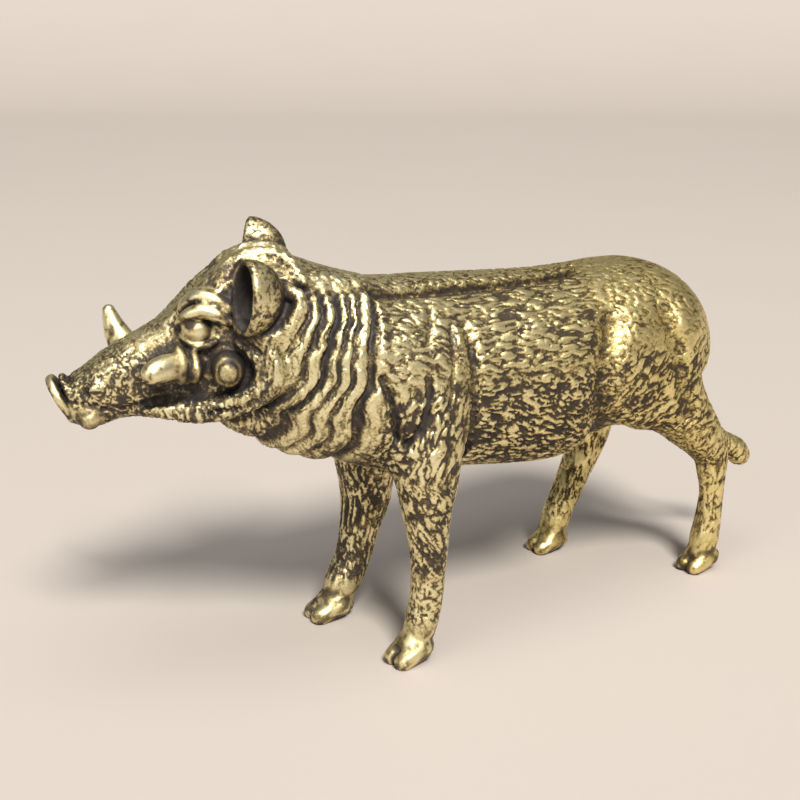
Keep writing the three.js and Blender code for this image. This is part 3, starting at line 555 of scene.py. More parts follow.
def egg(centre, facing, radii):
    """An egg turned to face one way."""
    centre = np.asarray(centre, float)
    axes = ear_axes(facing)

    def distance(p):
        v = p - centre
        a, b, c = (v @ axis / radius for axis, radius in zip(axes, radii))
        return (np.sqrt(a ** 2 + b ** 2 + c ** 2) - 1) * radii[1]

    return Shape(distance, centre - max(radii), centre + max(radii))


def ear(centre, facing, outer, inner):
    """A cup open along its facing direction: half an egg with an egg-shaped hollow."""
    shell, hollow = egg(centre, facing, outer), egg(centre, facing, inner)
    front, _, up = ear_axes(facing)

    def distance(p):
        v = p - np.asarray(centre, float)
        cup = clipped(shell.distance(p), v @ front - EAR_LIP + EAR_LEAN * (v @ up), EAR_RIM_SOFT)
        return clipped(cup, -hollow.distance(p), EAR_HOLLOW_SOFT)

    return Shape(distance, shell.low, shell.high)


def hoof(x, y, turn, length, width):
    """A cloven hoof with two dewclaws behind it."""
    cos, sin = math.cos(math.radians(turn)), math.sin(math.radians(turn))
    w = width / 2
    scale = np.array([length, w, 1.0])
    claw = tube(np.array(CLAW) * (length, w, 1.0, w), 1)
    coronet = ball(scale * CORONET_PLACE, scale * CORONET_RADII)
    dewclaw = ball(scale * DEWCLAW_PLACE, DEWCLAW_RADII)

    def distance(p):
        dx, dy = p[:, 0] - x, p[:, 1] - y
        own = np.stack([-(dx * cos + dy * sin), np.abs(dy * cos - dx * sin), p[:, 2]], -1)
        foot = joined(claw.distance(own), coronet.distance(own), CORONET_BLEND)
        return joined(foot, dewclaw.distance(own), DEWCLAW_BLEND)

    return Shape(distance, (x - length, y - width, -1), (x + length, y + width, 3))


def blend_in(d, p, sign, shape, soft):
    """Joins a shape to the distances d at the points p, or cuts it out of them."""
    near = np.all((p > shape.low - BOX_MARGIN) & (p < shape.high + BOX_MARGIN), axis=1)
    if near.any():
        other = shape.distance(p[near])
        d[near] = joined(d[near], other, soft) if sign > 0 else clipped(d[near], -other, soft)


# Head details in head coordinates: forward of the pivot, sideways, up.
# Each row is: name, add or cut, on both sides or one, the shape, the blend.
ADD, CUT = 1, -1
BOTH, ONE = True, False
EYEBALL = ball((8.7, -2.35, 24.8), (1.0, 0.98, 1.0))


def snout():
    return [
        ("rim", ADD, ONE, disc((17.45, 0, 20.15), 28, 1.65, 0.28, 0.2), 0.15),
        ("disc", ADD, ONE, disc((16.75, 0, 20.3), 28, 1.56, 0.2, 0.15), 0.2),
        ("lower lip", ADD, ONE, ball((15.7, 0, 19.1), (1.5, 1.7, 0.95)), 0.5),
        ("chin", ADD, BOTH, ball((15.75, -1.35, 19.0), (0.75, 0.75, 0.75)), 0.15),
        ("nostril wing", ADD, BOTH, ball((15.2, -1.65, 21.0), (0.62, 0.55, 0.7)), 0.15),
        ("wing pit", CUT, BOTH, ball((15.95, -1.9, 20.75), (0.3, 0.35, 0.4)), 0.12),
        ("nostril", CUT, BOTH, ball((17.85, -0.6, 20.1), (0.28, 0.26, 0.34)), 0.12),
    ]


def cheeks():
    return [
        ("hollow", CUT, BOTH, ball((10.9, -3.7, 23.9), (1.7, 1.1, 0.8)), 0.6),
        ("bridge ridge", ADD, BOTH, tube([
            (10.4, -1.1, 24.9, 0.4), (9.3, -1.2, 26.0, 0.5), (8.2, -1.4, 27.0, 0.55),
            (6.8, -1.7, 27.9, 0.6)]), 0.6),
        ("jaw", ADD, BOTH, tube([
            (12.2, -1.7, 19.5, 0.55), (11.0, -2.1, 19.5, 0.65), (9.5, -2.45, 19.45, 0.85),
            (7.9, -2.95, 19.6, 0.9), (6.2, -3.6, 20.2, 0.85), (4.8, -4.2, 20.9, 0.8),
            (3.9, -4.5, 22.1, 0.7), (4.3, -4.4, 23.4, 0.6)]), 0.45),
        ("cheek fold", ADD, BOTH, tube([
            (6.2, -3.9, 24.2, 0.35), (5.2, -4.2, 23.1, 0.4), (5.0, -4.3, 22.0, 0.4),
            (5.7, -4.1, 21.0, 0.4), (7.0, -3.7, 20.6, 0.35)]), 0.2),
        ("front groove", CUT, BOTH, tube([
            (4.9, -4.75, 24.0, 0.12), (4.4, -5.05, 22.3, 0.18), (4.85, -5.0, 20.9, 0.18),
            (6.3, -4.4, 19.95, 0.15), (8.2, -3.6, 19.6, 0.12)]), 0.1),
        ("rear groove", CUT, BOTH, tube([
            (3.5, -4.9, 24.2, 0.12), (3.2, -5.3, 22.3, 0.2), (3.9, -5.2, 20.5, 0.2),
            (5.4, -4.4, 19.2, 0.15)]), 0.1),
    ]


def mouth():
    return [
        ("slit", CUT, BOTH, tube([
            (16.6, -1.6, 20.1, 0.16), (15.3, -1.9, 19.8, 0.2), (13.8, -2.0, 19.6, 0.22),
            (12.2, -2.2, 19.95, 0.26), (10.7, -2.4, 20.3, 0.3), (9.6, -2.7, 20.6, 0.25)]), 0.12),
        ("tusk hollow", CUT, BOTH, ball((11.2, -2.8, 21.1), (1.9, 0.8, 0.65)), 0.3),
        ("cheek", ADD, BOTH, ball((9.6, -2.7, 22.5), (1.3, 1.1, 1.2)), 0.3),
    ]


def lip_folds():
    front = [(10.0, -3.2, 23.7, 0.35), (9.85, -3.95, 22.9, 0.5), (9.9, -3.6, 21.9, 0.38)]
    rear = [(9.05, -3.3, 23.4, 0.3), (8.95, -3.95, 22.6, 0.42), (9.05, -3.5, 21.8, 0.3)]
    return [("lip fold", ADD, BOTH, tube(line), 0.08) for line in (front, rear)]


def tusks():
    return [
        ("tusk", ADD, ONE, tube([
            (10.0, -3.2, 22.6, 0.8), (10.6, -3.75, 22.75, 0.86), (11.2, -4.2, 22.75, 0.82),
            (11.7, -4.6, 22.65, 0.7)]), 0.1),
        ("tusk", ADD, ONE, tube([
            (11.6, 2.2, 21.8, 1.2), (12.9, 3.2, 22.2, 1.1), (13.7, 3.8, 23.3, 0.85),
            (14.15, 4.0, 24.8, 0.45)]), 0.15),
    ]


def warts():
    return [
        ("wart moat", CUT, BOTH, ring((6.95, -3.85, 22.4), (1.28, 1.42), 0.28), 0.12),
        ("wart", ADD, BOTH, ball((6.95, -3.7, 22.4), (1.05, 1.3, 1.18)), 0.06),
        ("wart ring", CUT, BOTH, ring((7.0, -4.62, 22.45), (0.7, 0.78), 0.1, 12), 0.08),
    ]


def lid(side, inset, drop, slim):
    """The upper eyelid of one side, set in, lowered and made slimmer by these amounts."""
    return tube([(x, -side * (y + inset), z - drop, r - slim) for x, y, z, r in LID])


def eyes():
    return [
        ("brow", ADD, ONE, tube([
            (9.4, -1.8, 26.2, 0.3), (8.6, -2.2, 26.8, 0.5), (7.6, -2.7, 26.7, 0.5),
            (6.8, -3.0, 26.1, 0.35)]), 0.6),
        ("socket", CUT, BOTH, ball((8.75, -3.4, 24.85), (1.35, 0.85, 1.0)), 0.08),
        ("eyeball", ADD, BOTH, EYEBALL, 0.05),
        ("lid", ADD, ONE, lid(-1, 0.0, 0.0, 0.0), 0.08),
        ("lid", ADD, ONE, lid(1, FAR_LID_INSET, FAR_LID_DROP, FAR_LID_SLIM), 0.2),
        ("lid", ADD, BOTH, tube([
            (9.8, -2.3, 24.4, 0.16), (9.2, -2.9, 23.95, 0.24), (8.4, -3.1, 23.8, 0.26),
            (7.6, -3.2, 24.1, 0.2)]), 0.12),
    ]


def ears():
    near, far = (ear(*row) for row in EARS)
    return [
        ("ear fold", ADD, BOTH, tube([
            (3.2, -3.6, 27.4, 0.45), (2.35, -3.9, 26.8, 0.55), (2.5, -4.1, 25.8, 0.6),
            (3.4, -4.2, 24.7, 0.6), (4.8, -4.2, 24.3, 0.6), (6.1, -4.0, 25.2, 0.45)]), 0.25),
        ("crown fold", ADD, BOTH, tube([
            (7.1, -2.3, 27.2, 0.4), (6.6, -1.6, 28.4, 0.5), (5.3, -1.1, 29.1, 0.5),
            (3.9, -1.1, 29.2, 0.5), (2.7, -1.6, 28.7, 0.5), (2.0, -2.8, 27.6, 0.45)]), 0.3),
        ("near ear", ADD, ONE, near, 0.25),
        ("far ear root", ADD, ONE, ball((5.1, 4.0, 25.8), (0.9, 0.8, 0.9)), 0.3),
        ("far ear", ADD, ONE, far, 0.4),
    ]


HEAD_DETAILS = snout() + cheeks() + mouth() + tusks() + lip_folds() + warts() + eyes() + ears()
EAR_BACKS = [egg(centre, facing, outer) for centre, facing, outer, _ in EARS]
EAR_HOLLOWS = [egg(centre, facing, inner) for centre, facing, _, inner in EARS]
TRUNK_ROWS = section_rows(TRUNK)
HEAD_ROWS = section_rows(HEAD)
MANE_ROWS = section_rows(MANE)
TAIL_SHAPE = tube(TAIL)
THIGH_BULGE = ball(THIGH_BULGE_CENTRE, THIGH_BULGE_RADII)
LEG_SHAPES = [
    (tube(line, 2, LEG_RING_BLEND), hoof(*foot),
     tube([(x, side * y, z, r) for x, y, z, r in THIGH_FRONT], 2) if side else None)
    for line, side, foot in LEGS
]


def spine_y(x):
    return NECK_BEND * np.clip(NECK_BEND_START - x, 0.0, None) ** 2


def head_coordinates(p):
    dx, dy = p[:, 0] - HEAD_PIVOT[0], p[:, 1] - HEAD_PIVOT[1]
    cos, sin = math.cos(HEAD_TURN), math.sin(HEAD_TURN)
    return np.stack([-cos * dx + sin * dy, sin * dx + cos * dy, p[:, 2]], -1)


def left_side(q):
    """Head coordinates with the far side mirrored onto the near side."""
    return np.stack([q[:, 0], -np.abs(q[:, 1]), q[:, 2]], -1)


def fold_radius(x, z):
    radius = np.hypot(x - FOLD_CENTRE[0], z - FOLD_CENTRE[1])
    for start, side, spread in FOLD_SPREADS:
        radius = radius - spread * np.clip(side * (z - start), 0.0, None)
    ripple = FOLD_RIPPLE * np.sin(FOLD_RIPPLE_RATE * z + x)
    return radius + FOLD_WAVE * (np.sin(FOLD_WAVE_RATE * z) + ripple)


def neck_folds(x, z, aside):
    radius = fold_radius(x, z)
    depth = sum(deep * np.exp(-((radius - at) / width) ** 2) for at, deep, width in FOLDS)
    on_mane = ramp(*FOLD_MANE_HEIGHTS, z) * (1 - ramp(*FOLD_MANE_SIDES, aside))
    return depth * ramp(*FOLD_HEIGHTS, z) * (1 - on_mane) * ramp(*FOLD_FRONT, x)


def line_distance(x, z, line):
    """Distance in the side plane to a chain of points."""
    best = None
    for (ax, az), (bx, bz) in zip(line[:-1], line[1:]):
        wx, wz = bx - ax, bz - az
        t = np.clip(((x - ax) * wx + (z - az) * wz) / (wx * wx + wz * wz), 0.0, 1.0)
        d = np.hypot(x - ax - t * wx, z - az - t * wz)
        best = d if best is None else np.minimum(best, d)
    return best


def body_grooves(x, z, aside):
    shoulder = SHOULDER_GROOVE_DEPTH * np.exp(-((x - SHOULDER_GROOVE_X) / SHOULDER_GROOVE_WIDTH) ** 2)
    shoulder *= (1 - ramp(*SHOULDER_GROOVE_TOP, z)) * ramp(*SHOULDER_GROOVE_HEIGHTS, z)
    half = np.interp(x, MANE_ROWS[:, 0], MANE_ROWS[:, 3])
    away = (aside - half - MANE_GROOVE_GAP) / MANE_GROOVE_WIDTH
    mane = MANE_GROOVE_DEPTH * np.exp(-away ** 2)
    mane *= ramp(*MANE_GROOVE_HEIGHTS, z) * (1 - ramp(*MANE_GROOVE_REAR, x)) * ramp(*MANE_GROOVE_FRONT, x)
    return shoulder + mane


def side_grooves(x, z):
    """Depth of the grooves down the sides and how dark they are."""
    depth = np.zeros(len(x))
    dark = np.zeros(len(x))
    for line, deep, width, patina in SIDE_GROOVES:
        share = np.exp(-(line_distance(x, z, line) / width) ** 2)
        depth += deep * share
        dark = np.maximum(dark, patina * smooth_ramp(*SIDE_DARK_SHARES, share))
    return depth, dark


def add_legs(d, p):
    for leg, foot, thigh in LEG_SHAPES:
        low, high = np.minimum(leg.low, foot.low), np.maximum(leg.high, foot.high)
        near = np.all((p > low - BOX_MARGIN) & (p < high + BOX_MARGIN), axis=1)
        own = leg.distance(p[near])
        if thigh is not None:
            own = joined(own, thigh.distance(p[near]), THIGH_BLEND)
        blend_in(own, p[near], ADD, foot, HOOF_BLEND)
        d[near] = joined(d[near], own, LEG_BLEND)


def form(points):
    """Distance to the animal, with the grooves of its skin folds."""
    p = points.reshape(-1, 3)
    x, y, z = p[:, 0], p[:, 1], p[:, 2]
    aside = np.abs(y - spine_y(x))
    d = loft(x, y - spine_y(x), z, TRUNK_ROWS, TRUNK_POWER)
    fore = x < HEAD_START
    q = head_coordinates(p[fore])
    d[fore] = joined(d[fore], loft(q[:, 0], q[:, 1], q[:, 2], HEAD_ROWS, HEAD_POWER), HEAD_BLEND)
    add_legs(d, p)
    blend_in(d, np.stack([x, np.abs(y), z], -1), ADD, THIGH_BULGE, THIGH_BULGE_BLEND)
    d += neck_folds(x, z, aside) + body_grooves(x, z, aside) + side_grooves(x, z)[0]
    d = joined(d, loft(x, y - spine_y(x), z, MANE_ROWS, MANE_POWER), MANE_BLEND)
    head = d[fore]
    left = left_side(q)
    for _, sign, both, detail, soft in HEAD_DETAILS:
        blend_in(head, left if both else q, sign, detail, soft)
    d[fore] = head
    blend_in(d, p, ADD, TAIL_SHAPE, TAIL_BLEND)
    return np.maximum(d, -z).reshape(points.shape[:-1])


# Surface of the form on a grid

def sampled_form(step):
    """Distances on a fine grid, worked out only in the blocks the surface passes near."""
    low, high = np.array(SAMPLE_LOW), np.array(SAMPLE_HIGH)
    coarse = step * BLOCK
    n = np.ceil((high - low) / coarse).astype(int)
    axes = [low[i] + coarse * np.arange(n[i] + 1) for i in range(3)]
    corners = form(np.stack(np.meshgrid(*axes, indexing="ij"), -1))
    least = np.full(n, np.inf)
    most = np.full(n, -np.inf)
    for i in (0, 1):
        for j in (0, 1):
            for k in (0, 1):
                c = corners[i:n[0] + i, j:n[1] + j, k:n[2] + k]
                least = np.minimum(least, c)
                most = np.maximum(most, c)
    blocks = np.argwhere((least < coarse) & (most > -coarse))
    fine = n * BLOCK + 1
    values = np.empty(fine, np.float32)
    values[:-1, :-1, :-1] = corners[:-1, :-1, :-1].repeat(BLOCK, 0).repeat(BLOCK, 1).repeat(BLOCK, 2)
    values[-1] = values[-2]
    values[:, -1] = values[:, -2]
    values[:, :, -1] = values[:, :, -2]
    offsets = np.arange(BLOCK + 1)
    cube = np.stack(np.meshgrid(offsets, offsets, offsets, indexing="ij"), -1).reshape(-1, 3)
    cells = (blocks[:, None, :] * BLOCK + cube[None]).reshape(-1, 3)
    flat = np.unique((cells[:, 0] * fine[1] + cells[:, 1]) * fine[2] + cells[:, 2])
    for start in range(0, len(flat), BATCH):
        part = flat[start:start + BATCH]
        i, rest = np.divmod(part, fine[1] * fine[2])
        j, k = np.divmod(rest, fine[2])
        values[i, j, k] = form(low + step * np.stack([i, j, k], -1))
    return values, low


def net_points(values, low, step):
    """One point in each grid cell that the surface passes through, and the cell numbers."""
    n = values.shape
    inside = values < 0
    count = np.zeros([s - 1 for s in n], np.uint8)
    corners = [(i, j, k) for i in (0, 1) for j in (0, 1) for k in (0, 1)]
    for i, j, k in corners:
        count += inside[i:n[0] - 1 + i, j:n[1] - 1 + j, k:n[2] - 1 + k]
    crossed = (count > 0) & (count < 8)
    number = -np.ones(crossed.shape, np.int64)
    cells = np.argwhere(crossed)
    number[crossed] = np.arange(len(cells))
    total = np.zeros((len(cells), 3))
    hits = np.zeros(len(cells))
    ends = [(a, b) for a in corners for b in corners
            if sum(b) == sum(a) + 1 and all(q >= p for p, q in zip(a, b))]
    for a, b in ends:
        va = values[tuple((cells + a).T)]
        vb = values[tuple((cells + b).T)]
        crossing = (va < 0) != (vb < 0)
        t = va[crossing] / (va[crossing] - vb[crossing])
        total[crossing] += np.array(a) + t[:, None] * (np.array(b) - np.array(a))
        hits[crossing] += 1
    return low + (cells + total / hits[:, None]) * step, number, inside


def net_quads(number, inside):
    """A quad round each grid edge that the surface crosses."""
    n = inside.shape
    quads = []
    for axis in range(3):
        b, c = (axis + 1) % 3, (axis + 2) % 3
        first = [slice(1, s - 1) for s in n]
        second = list(first)
        first[axis] = slice(0, n[axis] - 1)
        second[axis] = slice(1, n[axis])
        start = inside[tuple(first)]
        edges = np.argwhere(start != inside[tuple(second)])
        outward = start[tuple(edges.T)]
        edges[:, b] += 1
        edges[:, c] += 1

        def around(db, dc):
            cell = edges.copy()
            cell[:, b] += db
            cell[:, c] += dc
            return number[tuple(cell.T)]

        quad = np.stack([around(-1, -1), around(0, -1), around(0, 0), around(-1, 0)], 1)
        quad[~outward] = quad[~outward][:, ::-1]
        quads.append(quad)
    return np.concatenate(quads)


def vertex_normals(points, quads):
    a, b, c, d = (points[quads[:, i]] for i in range(4))
    facing = np.cross(c - a, d - b)
    out = np.zeros_like(points)
    for i in range(4):
        for axis in range(3):
            out[:, axis] += np.bincount(quads[:, i], facing[:, axis], len(points))
    return out / (np.linalg.norm(out, axis=1, keepdims=True) + 1e-12)


# Noise for the chased skin

def lattice(i, j, k, seed):
    """A pseudo-random number in 0 to 1 for each grid corner."""
    h = (i * 374761393 + j * 668265263 + k * 2147483647 + seed * 1274126177) & 0xFFFFFFFF
    h = ((h ^ (h >> 13)) * 1103515245) & 0xFFFFFFFF
    h = ((h ^ (h >> 16)) * 2246822519) & 0xFFFFFFFF
    return ((h ^ (h >> 15)) & 0xFFFFFF) / float(0xFFFFFF)


def noise(q, seed):
    """Gradient noise between about -1 and 1, one cycle to the unit."""
    base = np.floor(q).astype(np.int64)
    f = q - base
    w = f * f * f * (f * (f * 6 - 15) + 10)
    total = np.zeros(len(q))
    for i in (0, 1):
        for j in (0, 1):
            for k in (0, 1):
                ci, cj, ck = base[:, 0] + i, base[:, 1] + j, base[:, 2] + k
                turn = 2 * np.pi * lattice(ci, cj, ck, seed)
                up = 2 * lattice(ci, cj, ck, seed + 101) - 1
                flat = np.sqrt(1 - up * up)
                dot = ((f[:, 0] - i) * flat * np.cos(turn) + (f[:, 1] - j) * flat * np.sin(turn)
                       + (f[:, 2] - k) * up)
                weight = (w[:, 0] if i else 1 - w[:, 0]) * (w[:, 1] if j else 1 - w[:, 1])
                total += dot * weight * (w[:, 2] if k else 1 - w[:, 2])
    return total * NOISE_GAIN


def turned(p, degrees):
    """The points turned in the side plane, so that X runs along a stroke direction."""
    a = math.radians(degrees)
    cos, sin = math.cos(a), math.sin(a)
    return np.stack([p[:, 0] * cos + p[:, 2] * sin, p[:, 1], -p[:, 0] * sin + p[:, 2] * cos], -1)


def warped(p, size, amount, seed):
    """The points pushed about by a slow noise, so that strokes wander."""
    q = p / size
    shift = np.stack([noise(q, seed + s) for s in range(3)], -1)
    return p + amount * shift


def islands(p, degrees, length, width, seed, bias=0.0, crack=0.0):
    """Plateaus with sharp edges, longer along one direction, from 0 in the pits to 1 on top.

    A thin net of cracks runs over them, as wide as the last value says."""
    q = turned(p, degrees)
    q = np.stack([q[:, 0] / length, q[:, 1] / width, q[:, 2] / width], -1)
    value = noise(q, seed) + FINE_SHARE * noise(FINE_SCALE * q + FINE_SHIFT, seed + 5)
    top = smooth_ramp(-ISLAND_EDGE, ISLAND_EDGE, value + bias)
    if crack:
        net = noise(CRACK_SIZE * q + CRACK_SHIFT, seed + 9)
        net += CRACK_FINE_SHARE * noise(CRACK_FINE_SCALE * CRACK_SIZE * q, seed + 12)
        top = top * smooth_ramp(CRACK_CORE * crack, crack, np.abs(net))
    return top


# The chased skin, region by region

def between(value, low, high, soft):
    """1 between two places and 0 outside, with soft ends."""
    return smooth_ramp(low - soft, low + soft, value) * (1 - smooth_ramp(high - soft, high + soft, value))


def near_shape(shape, p, reach=SMOOTH_REACH):
    """1 on a shape and 0 beyond its reach."""
    out = np.zeros(len(p))
    close = np.all((p > shape.low - reach) & (p < shape.high + reach), axis=1)
    if close.any():
        out[close] = 1 - smooth_ramp(SMOOTH_CORE * reach, reach, shape.distance(p[close]))
    return out


def on_ears(q):
    """1 on either ear and 0 away from both."""
    return np.maximum(*(near_shape(back, q) for back in EAR_BACKS))


def smooth_places(p, q):
    """Where handling has worn the casting smooth, and how much patina is left there."""
    left = left_side(q)
    smooth = 1 - smooth_ramp(*HOOF_TOP, p[:, 2])
    dull = HOOF_DULL * smooth
    for name, _, both, shape, _ in HEAD_DETAILS:
        if name in SMOOTH_PARTS:
            share = near_shape(shape, left if both else q)
            smooth = np.maximum(smooth, share)
            dull = np.maximum(dull, SMOOTH_PARTS[name] * share)
    return smooth, np.maximum(dull, EAR_DULL * on_ears(q))


def hollow_patina_and_shade(q):
    """Patina and painted shade in the hollows of the head, as under the tusks, and inside the ears."""
    left = left_side(q)
    out = np.zeros(len(q))
    for place, reach in HOLLOW_PLACES:
        away = np.linalg.norm(left - place, axis=1) / reach
        out = np.maximum(out, HOLLOW_DARK * (1 - smooth_ramp(*HOLLOW_EDGE, away)))
    for hollow in EAR_HOLLOWS:
        out = np.maximum(out, near_shape(hollow, q, HOLLOW_REACH))
    return out


def crown_highlight(q):
    """Where the crown between the ears gets its painted highlight."""
    crown = smooth_ramp(*CROWN_HEIGHTS, q[:, 2]) * (1 - smooth_ramp(*CROWN_FRONT, q[:, 0]))
    return CROWN_HIGHLIGHT * crown * (1 - on_ears(q)) * smooth_ramp(*CROWN_REAR, q[:, 0])


def iris(q):
    """The dark iris of the near eye and of the far one."""
    away = np.linalg.norm(left_side(q) - IRIS, axis=1)
    return 1 - smooth_ramp(IRIS_CORE * IRIS_REACH, IRIS_REACH, away)


def along_folds(p):
    """The points in coordinates that run along the neck folds."""
    angle = np.arctan2(p[:, 2] - FOLD_CENTRE[1], p[:, 0] - FOLD_CENTRE[0])
    return np.stack([angle * NECK_ARC, p[:, 1] * NECK_SIDEWAYS, fold_radius(p[:, 0], p[:, 2])], -1)


def skin_shares(p, q, aside):
    """How far each point belongs to the head, the neck and the mane strip."""
    head = smooth_ramp(*HEAD_SKIN_REAR, q[:, 0]) * smooth_ramp(*HEAD_SKIN_X, p[:, 0])
    neck = smooth_ramp(*NECK_SKIN_X, p[:, 0]) * (1 - head) * smooth_ramp(*NECK_SKIN_HEIGHTS, p[:, 2])
    half = np.interp(p[:, 0], MANE_ROWS[:, 0], MANE_ROWS[:, 3])
    off_strip = smooth_ramp(half - MANE_SKIN_EDGE, half + MANE_SKIN_EDGE, aside)
    mane = smooth_ramp(*MANE_SKIN_HEIGHTS, p[:, 2]) * (1 - off_strip)
    mane *= smooth_ramp(*MANE_SKIN_REAR, p[:, 0]) * (1 - head)
    return head, neck, mane


def skin_layers(p, q, aside, wandering):
    """Each layer of strokes: its weight, the strokes, their seed and the points they follow."""
    head, neck, mane = skin_shares(p, q, aside)
    for number, (_, xs, zs, soft, *strokes) in enumerate(SKIN):
        weight = between(p[:, 0], *xs, soft) * between(p[:, 2], *zs, soft)
        weight = weight * (1 - mane) * (1 - neck) * (1 - head)
        yield weight, strokes, BODY_SEED + SEED_STEP * number, wandering
    yield neck * (1 - mane), NECK_STROKES, NECK_SEED, along_folds(wandering)
    yield mane, MANE_STROKES, MANE_SEED, wandering
    for number, (_, xs, zs, soft, angle, *strokes) in enumerate(HEAD_SKIN):
        weight = head * between(q[:, 0], *xs, soft) * between(q[:, 2], *zs, soft)
        yield weight, (-angle, *strokes), HEAD_SEED + SEED_STEP * number, wandering
    yield EAR_WEIGHT * on_ears(q), EAR_STROKES, EAR_SEED, wandering
    # The far foreleg gets darker strokes: patina and painted shade
    shaded = smooth_ramp(*FAR_FORELEG_SIDES, p[:, 1]) * between(p[:, 0], *FAR_FORELEG_X, FAR_FORELEG_SOFT)
    shaded *= between(p[:, 2], *FAR_FORELEG_Z, FAR_FORELEG_SOFT)
    yield FAR_FORELEG_WEIGHT * shaded, FAR_FORELEG_STROKES, FAR_FORELEG_SEED, wandering


def smooth_spots(p, q, wandering):
    """Spots of patina on the smooth parts, denser on the hooves and none on the eyes."""
    bias = np.where(p[:, 2] < HOOF_TOP[1], HOOF_SPOT_BIAS, SPOT_BIAS)
    spots = SPOT_DARK * (1 - islands(wandering, SPOT_ANGLE, SPOT_LENGTH, SPOT_WIDTH, SPOT_SEED, bias))
    return spots * (1 - near_shape(EYEBALL, left_side(q)))


def skin(p):
    """How far the chasing presses each point in, and how dark it is painted: patina, with painted shade in
    places and the crown's painted highlight.
    """
    q = head_coordinates(p)
    aside = np.abs(p[:, 1] - spine_y(p[:, 0]))
    wandering = warped(p, WANDER_SIZE, WANDER, WANDER_SEED)
    depth = np.zeros(len(p))
    dark = np.zeros(len(p))
    total = np.full(len(p), LEAST_TOTAL)
    for weight, strokes, seed, points in skin_layers(p, q, aside, wandering):
        angle, length, width, press, bias, crack, patina = strokes
        used = weight > LEAST_WEIGHT
        low = 1 - islands(points[used], angle, length, width, seed, bias, crack)
        depth[used] += weight[used] * press * low
        dark[used] += weight[used] * patina * low
        total[used] += weight[used]
    smooth, dull = smooth_places(p, q)
    keep = (1 - smooth) / total
    grooves = neck_folds(p[:, 0], p[:, 2], aside) + body_grooves(p[:, 0], p[:, 2], aside)
    dark = np.maximum(dark * keep, FOLD_DARK * smooth_ramp(*FOLD_DARK_DEPTHS, grooves))
    # Side grooves: patina, with painted shade in the broad hollows
    dark = np.maximum(dark, side_grooves(p[:, 0], p[:, 2])[1])
    # Patina and painted shade in the head's hollows, then the crown's painted highlight
    dark = np.maximum(dark, hollow_patina_and_shade(q) * (1 - smooth)) * (1 - crown_highlight(q))
    dark = np.maximum(dark, np.maximum(smooth * smooth_spots(p, q, wandering), dull))
    return depth * keep, np.maximum(dark, iris(q))


# Mesh of the statue

def new_mesh(name, points, faces):
    mesh = bpy.data.meshes.new(name)
    mesh.from_pydata(points.tolist(), [], faces.tolist())
    mesh.update()
    return mesh


def object_from(name, data):
    piece = bpy.data.objects.new(name, data)
    bpy.context.scene.collection.objects.link(piece)
    return piece


def thinned(piece, triangles):
    """The piece with its mesh brought under a number of triangles."""
    faces = 2 * len(piece.data.polygons)
    if faces <= triangles:
        return piece
    thinner = piece.modifiers.new("thin", "DECIMATE")
    thinner.ratio = triangles / faces
    thinner.use_collapse_triangulate = True
    depsgraph = bpy.context.evaluated_depsgraph_get()
    mesh = bpy.data.meshes.new_from_object(piece.evaluated_get(depsgraph))
    piece.modifiers.clear()
    piece.data = mesh
    return piece


def vectors(items, name):
    out = np.zeros(len(items) * 3, np.float32)
    items.foreach_get(name, out)
    return out.reshape(-1, 3).astype(float)


def crevice(points, normals, reach):
    """How much of the way out from each point is closed in by the form, from 0 to 1."""
    ahead = form(points + reach * normals)
    return np.clip(1 - ahead / reach, 0.0, 1.0)


def set_attribute(mesh, name, values):
    layer = mesh.attributes.new(name, "FLOAT", "POINT")
    layer.data.foreach_set("value", np.asarray(values, np.float32))


def statue():
    step = GRID_STEP
    values, low = sampled_form(step)
    points, number, inside = net_points(values, low, step)
    quads = net_quads(number, inside)
    normals = vertex_normals(points, quads)
    centre = (points.min(0) + points.max(0)) / 2
    depth, dark = skin(points)
    pressed = points - depth[:, None] * normals
    pressed[:, 2] = np.maximum(pressed[:, 2], 0.0)
    cast = object_from("boar_cast", new_mesh("boar_cast", pressed, quads))
    piece = thinned(cast, MOST_TRIANGLES)
    mesh = piece.data
    kept = vectors(mesh.vertices, "co")
    facing = vectors(mesh.vertex_normals, "vector")
    tree = KDTree(len(pressed))
    for i, point in enumerate(pressed.tolist()):
        tree.insert(point, i)
    tree.balance()
    nearest = np.array([tree.find(point)[1] for point in kept.tolist()])
    # The pits attribute holds patina, with painted shade in places and the crown's painted highlight
    set_attribute(mesh, "pits", dark[nearest])
    # Hollows are painted dark with patina and painted shade; downward faces get painted shade
    closed = np.maximum(crevice(kept, facing, CLOSE_REACH), WIDE_SHARE * crevice(kept, facing, WIDE_REACH))
    set_attribute(mesh, "crevice", np.maximum(closed, UNDERSIDE_DARK * np.clip(-facing[:, 2], 0.0, 1.0)))
    set_attribute(mesh, "polish", smooth_places(kept, head_coordinates(kept))[0])
    moved = (kept - np.array([centre[0], centre[1], 0.0])) * MM
    mesh.vertices.foreach_set("co", moved.astype(np.float32).ravel())
    mesh.shade_smooth()
    mesh.update()
    return piece, centre


# Materials

def node(tree, kind, **settings):
    made = tree.nodes.new(kind)
    for name, value in settings.items():
        setattr(made, name, value)
    return made


def noise_node(tree, coordinates, size_mm, detail=2.0, rough=0.5):
    made = node(tree, "ShaderNodeTexNoise")
    made.inputs["Scale"].default_value = 1.0 / (size_mm * MM)
    made.inputs["Detail"].default_value = detail
    made.inputs["Roughness"].default_value = rough
    tree.links.new(coordinates.outputs["Object"], made.inputs["Vector"])
    return made


